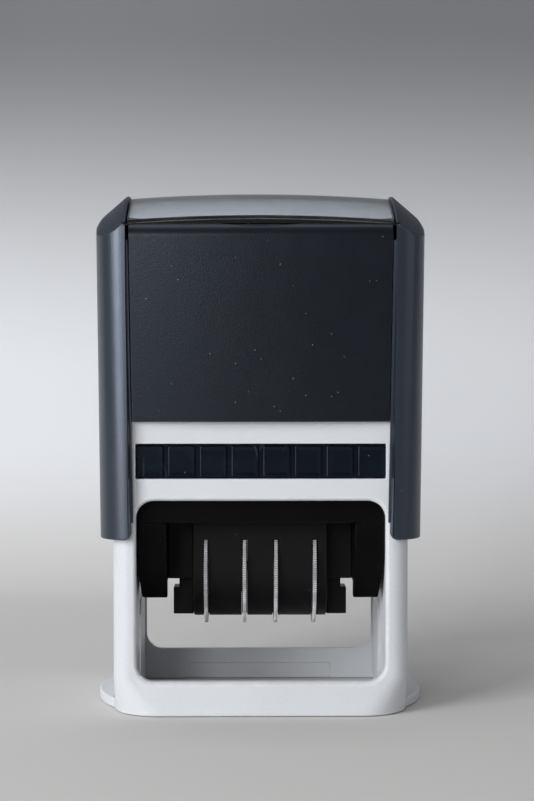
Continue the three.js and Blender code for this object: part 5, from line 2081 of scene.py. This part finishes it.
@dataclass
class DateWorks(Assembly):
    """The four knurled wheels with their bands, the axle and the nose bar."""

    pivot: float = PIVOT
    axle: float = AXLE
    nose: float = 47.3
    places: tuple[float, ...] = WHEEL_PLACES
    spans: tuple[Point, ...] = ((-11.83, -8.3), (-8.0, -4.475), (-2.975, 2.825), (4.325, 11.825))
    marks: tuple[tuple[str, ...], ...] = (
        ("0", "1", "2", "3"),
        ("0", "1", "2", "3", "4", "5", "6", "7", "8", "9"),
        ("1", "2", "3", "4", "5", "6", "7", "8", "9", "10", "11", "12"),
        ("26", "27", "28", "29", "30", "31", "32", "33", "34", "35", "36", "37"),
    )
    wheel_radius: float = 13.4
    wheel_half: float = 0.375
    core_radius: float = 11.2
    core_half: float = 0.6
    tooth: Point = (0.3, 0.32)  # width and height
    teeth: int = 156
    hub_radius: float = 6.2
    bore: float = AXLE_BORE
    axle_radius: float = 1.1
    band_hub: float = 6.5
    band_nose: float = 2.1
    band_base: float = 0.85
    band_mark: float = 0.35
    mark_size: float = 3.6

    def build(self) -> None:
        """Builds the wheels, bands, axle and nose bar."""
        for number, (place, span, marks) in enumerate(zip(self.places, self.spans, self.marks), start=1):
            band, name = self.band(span, marks), f"number_band_{number}"
            hand_over(band, name, "holder", "band_rubber", self.finishes.band, f"date_band_{number}")
            wheel, finish = self.wheel(place, span), self.finishes.wheel
            name, body = f"knurled_wheel_{number}", f"wheel_{number}"
            hand_over(wheel, name, body, "wheel_plastic", finish, f"date_wheel_{number}")
        hand_over(self.axle_rod(), "wheel_axle", "holder", "steel", self.finishes.steel, "band_axle")
        black = self.finishes.black
        hand_over(self.nose_bar(), "nose_bar", "holder", "black_plastic", black, "band_platen")

    def wheel(self, place: float, span: Point) -> Shape:
        """A thin wheel with a fine knurl and the hub of its band.

        Args:
            place: Where the wheel is along the axle.
            span: Where its band starts and ends.

        Returns:
            The wheel.
        """
        root = self.wheel_radius - self.tooth[1]
        half, core, step = self.wheel_half, self.core_half, 0.1
        profile = [
            (place - core, self.core_radius - step), (place - core + step, self.core_radius),
            (place - half, self.core_radius), (place - half, root - step), (place - half + step, root),
        ]
        profile += [(2 * place - x, radius) for x, radius in reversed(profile)]
        disc = turned(Axis.X, (0, self.axle), profile, 156)
        low, high = min(span[0], place - half), max(span[1], place + half)
        hub = soften(rod(Axis.X, (0, self.axle), self.hub_radius, low, high, 64), 0.2, segments=2)
        combine(disc, Fit.JOIN, hub)
        combine(disc, Fit.CUT, rod(Axis.X, (0, self.axle), self.bore, low - OVER, high + OVER, 40))
        width, height = self.tooth
        ridge = [(-width / 2, -0.12), (width / 2, -0.12), (width * 0.22, height), (-width * 0.22, height)]
        # All faces of the tooth take the lighter edge colour: painted light against the darker disc, which
        # stands in for shade in the grooves.
        tooth = worn(prism(ridge, Axis.X, -half, half))
        centre = (place, 0.0, self.axle)
        return self.patterns.around(disc, tooth, self.teeth, root, centre, self.finishes.wheel)

    def belt(self, hub: float, nose: float, steps: int = 20) -> list[Point]:
        """The outline of a belt round the hub and the nose bar.

        Args:
            hub: Its radius at the hub.
            nose: Its radius at the nose.
            steps: The straight steps of each turn.

        Returns:
            The outline in YZ.
        """
        lean = math.degrees(math.asin((hub - nose) / (self.nose - self.axle)))
        return [
            *arc((0, self.nose), nose, lean, 180 - lean, steps),
            *arc((0, self.axle), hub, 180 - lean, 360 + lean, 2 * steps),
        ]

    def band(self, span: Point, marks: Sequence[str]) -> Shape:
        """A rubber band with raised numbers that read in mirror writing.

        Args:
            span: Where it starts and ends along the axle.
            marks: Its numbers, in order.

        Returns:
            The band.
        """
        base = self.band_base
        whole = prism(self.belt(self.band_hub + base, self.band_nose + base), Axis.X, span[0], span[1])
        inside = prism(self.belt(self.band_hub, self.band_nose), Axis.X, span[0] - OVER, span[1] + OVER)
        combine(whole, Fit.CUT, inside)
        soften(whole, 0.15, segments=2)
        path = self.belt(self.band_hub + base, self.band_nose + base, 60)
        lengths = [0.0]
        for one, two in zip(path, [*path[1:], path[0]]):
            lengths.append(lengths[-1] + math.dist(one, two))
        total = lengths[-1]
        count = len(marks) if len(marks) > 4 else 3 * len(marks)
        start = self._length_at_top(path, lengths)
        glyphs = []
        for index in range(count):
            distance = (start + total * index / count) % total
            glyphs.append(self.glyph(marks[index % len(marks)], span, path, lengths, distance))
        return gathered(whole, *glyphs)

    @staticmethod
    def _length_at_top(path: Sequence[Point], lengths: Sequence[float]) -> float:
        """How far along the belt its highest point is."""
        top = max(range(len(path)), key=lambda index: path[index][1])
        return lengths[top]

    def glyph(
        self, text: str, span: Point, path: Sequence[Point], lengths: Sequence[float], distance: float
    ) -> Shape:
        """One raised number on the belt.

        Args:
            text: The number.
            span: Where the belt starts and ends along the axle.
            path: The belt's outline.
            lengths: How far along the belt each of its points is.
            distance: How far along the belt the number is.

        Returns:
            The number's shape.
        """
        curve = bpy.data.curves.new("mark", "FONT")
        curve.body = text
        curve.size = self.mark_size
        curve.align_x = "CENTER"
        curve.align_y = "CENTER"
        curve.extrude = self.band_mark / 2 + 0.05
        curve.resolution_u = 3
        source = linked("mark", curve)
        graph = bpy.context.evaluated_depsgraph_get()
        mesh = bpy.data.meshes.new_from_object(source.evaluated_get(graph))
        bpy.data.objects.remove(source)
        bpy.data.curves.remove(curve)
        index = max(n for n, length in enumerate(lengths) if length <= distance)
        index = min(index, len(path) - 1)
        one, two = Vector(path[index]), Vector(path[(index + 1) % len(path)])
        share = (distance - lengths[index]) / max((two - one).length, 1e-6)
        spot = one.lerp(two, share)
        along = (two - one).normalized()
        outward = Vector((along.y, -along.x))
        centre = Vector((0, (self.axle + self.nose) / 2))
        if outward.dot(spot - centre) < 0:
            outward = -outward
        lift = self.band_mark / 2 - 0.05
        across = min(1.0, (span[1] - span[0]) * 0.86 / max(self._width(mesh), 0.1))
        matrix = Matrix(
            (
                (-across, 0, 0, (span[0] + span[1]) / 2),
                (0, along.x, outward.x, spot.x + outward.x * lift),
                (0, along.y, outward.y, spot.y + outward.y * lift),
                (0, 0, 0, 1),
            )
        )
        mesh.transform(matrix)
        with edited(mesh) as net:
            bmesh.ops.remove_doubles(net, verts=net.verts, dist=0.001)
            bmesh.ops.recalc_face_normals(net, faces=net.faces)
        return linked("mark", mesh)

    @staticmethod
    def _width(mesh: bpy.types.Mesh) -> float:
        """How wide a flat mesh is."""
        across = [vertex.co.x for vertex in mesh.vertices]
        return max(across) - min(across)

    def axle_rod(self) -> Shape:
        """The steel axle, with a retaining groove at each end."""
        full, end = self.axle_radius, 18.6
        from_end = (0, 0.15, 0.4, 1.2, 1.3, 1.7, 1.8)
        sunk = (0.35, 0.1, 0, 0, 0.2, 0.2, 0)
        half = [(end - distance, full - depth) for distance, depth in zip(from_end, sunk)]
        profile = [(-x, radius) for x, radius in half] + list(reversed(half))
        return turned(Axis.X, (0, self.axle), profile, 40)

    def nose_bar(self) -> Shape:
        """The bar that the bands turn over under the die."""
        radius, low = 1.8, self.pivot + 1
        nose = [(-radius, low), (radius, low), *arc((0, self.nose), radius, 0, 180, 20)]
        whole = prism(nose, Axis.X, -12.4, 12.4)
        base = block((-15.45, 15.45), (-radius, radius), (low, self.pivot + 2.1))
        combine(whole, Fit.JOIN, base)
        return soften(whole, 0.2, segments=2)


# Studio


@dataclass
class Studio:
    """The pale floor and backdrop, the lamps and the camera, in metres."""

    wall: float = 0.26
    sweep: float = 0.09
    half_width: float = 1.6
    front: float = -2.2
    height: float = 1.9
    eye: Place = (-0.00418, -0.445, 0.08251)
    pitch: float = 88.435
    yaw: float = -0.759
    focal: float = 84.15

    def build(self, finishes: Finishes) -> None:
        """Sets up the floor, the light and the camera.

        Args:
            finishes: The stamp's materials, for their shared effects.
        """
        self.backdrop(finishes.effects)
        self.lamps()
        self.world()
        self.camera()
        bpy.context.scene.view_settings.view_transform = "Standard"

    def backdrop(self, effects: Effects) -> None:
        """One sheet that is floor in front and wall behind."""
        profile = [(self.front, 0.0), (-0.4, 0.0), (0.0, 0.0)]
        profile += arc((self.wall - self.sweep, self.sweep), self.sweep, -90, 0, 24)
        profile += [(self.wall, 0.5), (self.wall, self.height)]
        places = [(x, y, z) for y, z in profile for x in (-self.half_width, self.half_width)]
        faces = [(2 * n, 2 * n + 1, 2 * n + 3, 2 * n + 2) for n in range(len(profile) - 1)]
        mesh = bpy.data.meshes.new("studio_sweep")
        mesh.from_pydata(places, [], faces)
        mesh.polygons.foreach_set("use_smooth", [True] * len(mesh.polygons))
        sheet = linked("studio_sweep", mesh)
        # The third colour is painted shade, darkening the wall towards the top.
        paint = StudioPaint(
            "studio_paper", (0.74, 0.725, 0.705, 1), (0.86, 0.875, 0.905, 1), (0.14, 0.147, 0.162, 1),
            (0.0, 0.05, 0.072, 0.208),
        )
        mesh.materials.append(paint.make(effects))

    @staticmethod
    def lamp(name: str, place: Place, target: Place, size: Point, power: float, colour: Place) -> None:
        """Hangs one soft lamp.

        Args:
            name: The lamp's name.
            place: Where it hangs.
            target: What it points at.
            size: Its width and height.
            power: Its power in watts.
            colour: Its colour.
        """
        light = bpy.data.lights.new(name, "AREA")
        light.shape = "RECTANGLE"
        light.size, light.size_y = size
        light.energy = power
        light.color = colour
        holder = linked(name, light)
        holder.location = place
        aim = Vector(target) - Vector(place)
        holder.rotation_euler = aim.to_track_quat("-Z", "Y").to_euler()

    def lamps(self) -> None:
        """Two window panes to the left, a weak fill from the right and a lamp above."""
        self.lamp("key", (-0.613, -0.613, 0.32), (0, 0, 0.08), (0.42, 0.6), 6.3, (0.965, 0.98, 1.0))
        self.lamp("pane", (-0.244, -0.852, 0.29), (0, 0, 0.08), (0.18, 0.22), 1.1, (0.965, 0.98, 1.0))
        self.lamp("side", (0.95, -0.35, 0.4), (0, 0, 0.06), (0.7, 0.7), 0.9, (0.96, 0.98, 1.0))
        self.lamp("above", (-0.1, 0.1, 1.0), (0, 0.02, 0.0), (0.9, 0.5), 2.5, (0.99, 0.995, 1.0))

    @staticmethod
    def world() -> None:
        """A pale even surround."""
        world = bpy.data.worlds.new("surround")
        world.use_nodes = True
        shader = next(n for n in world.node_tree.nodes if n.type == "BACKGROUND")
        shader.inputs["Color"].default_value = (0.78, 0.79, 0.82, 1)
        shader.inputs["Strength"].default_value = 0.2
        bpy.context.scene.world = world

    def camera(self) -> None:
        """The camera where the photographer stood."""
        lens = bpy.data.cameras.new("camera")
        lens.lens = self.focal
        lens.clip_start = 0.01
        lens.dof.use_dof = False
        camera = linked("camera", lens)
        camera.location = self.eye
        camera.rotation_euler = (math.radians(self.pitch), 0, math.radians(self.yaw))
        bpy.context.scene.camera = camera


def main() -> None:
    """Builds the stamp and its studio, and logs each piece's face count."""
    logging.basicConfig(level=logging.INFO, format="%(name)s: %(message)s")
    finishes = Finishes()
    patterns = Patterns()
    Studio().build(finishes)
    for assembly in (WhiteFrame, Spring, Cap, Cartridge, Holder, DateWorks):
        LOG.info("building %s", assembly.__name__)
        assembly(finishes, patterns).build()
    bpy.context.view_layer.update()


if __name__ == "__main__":
    main()
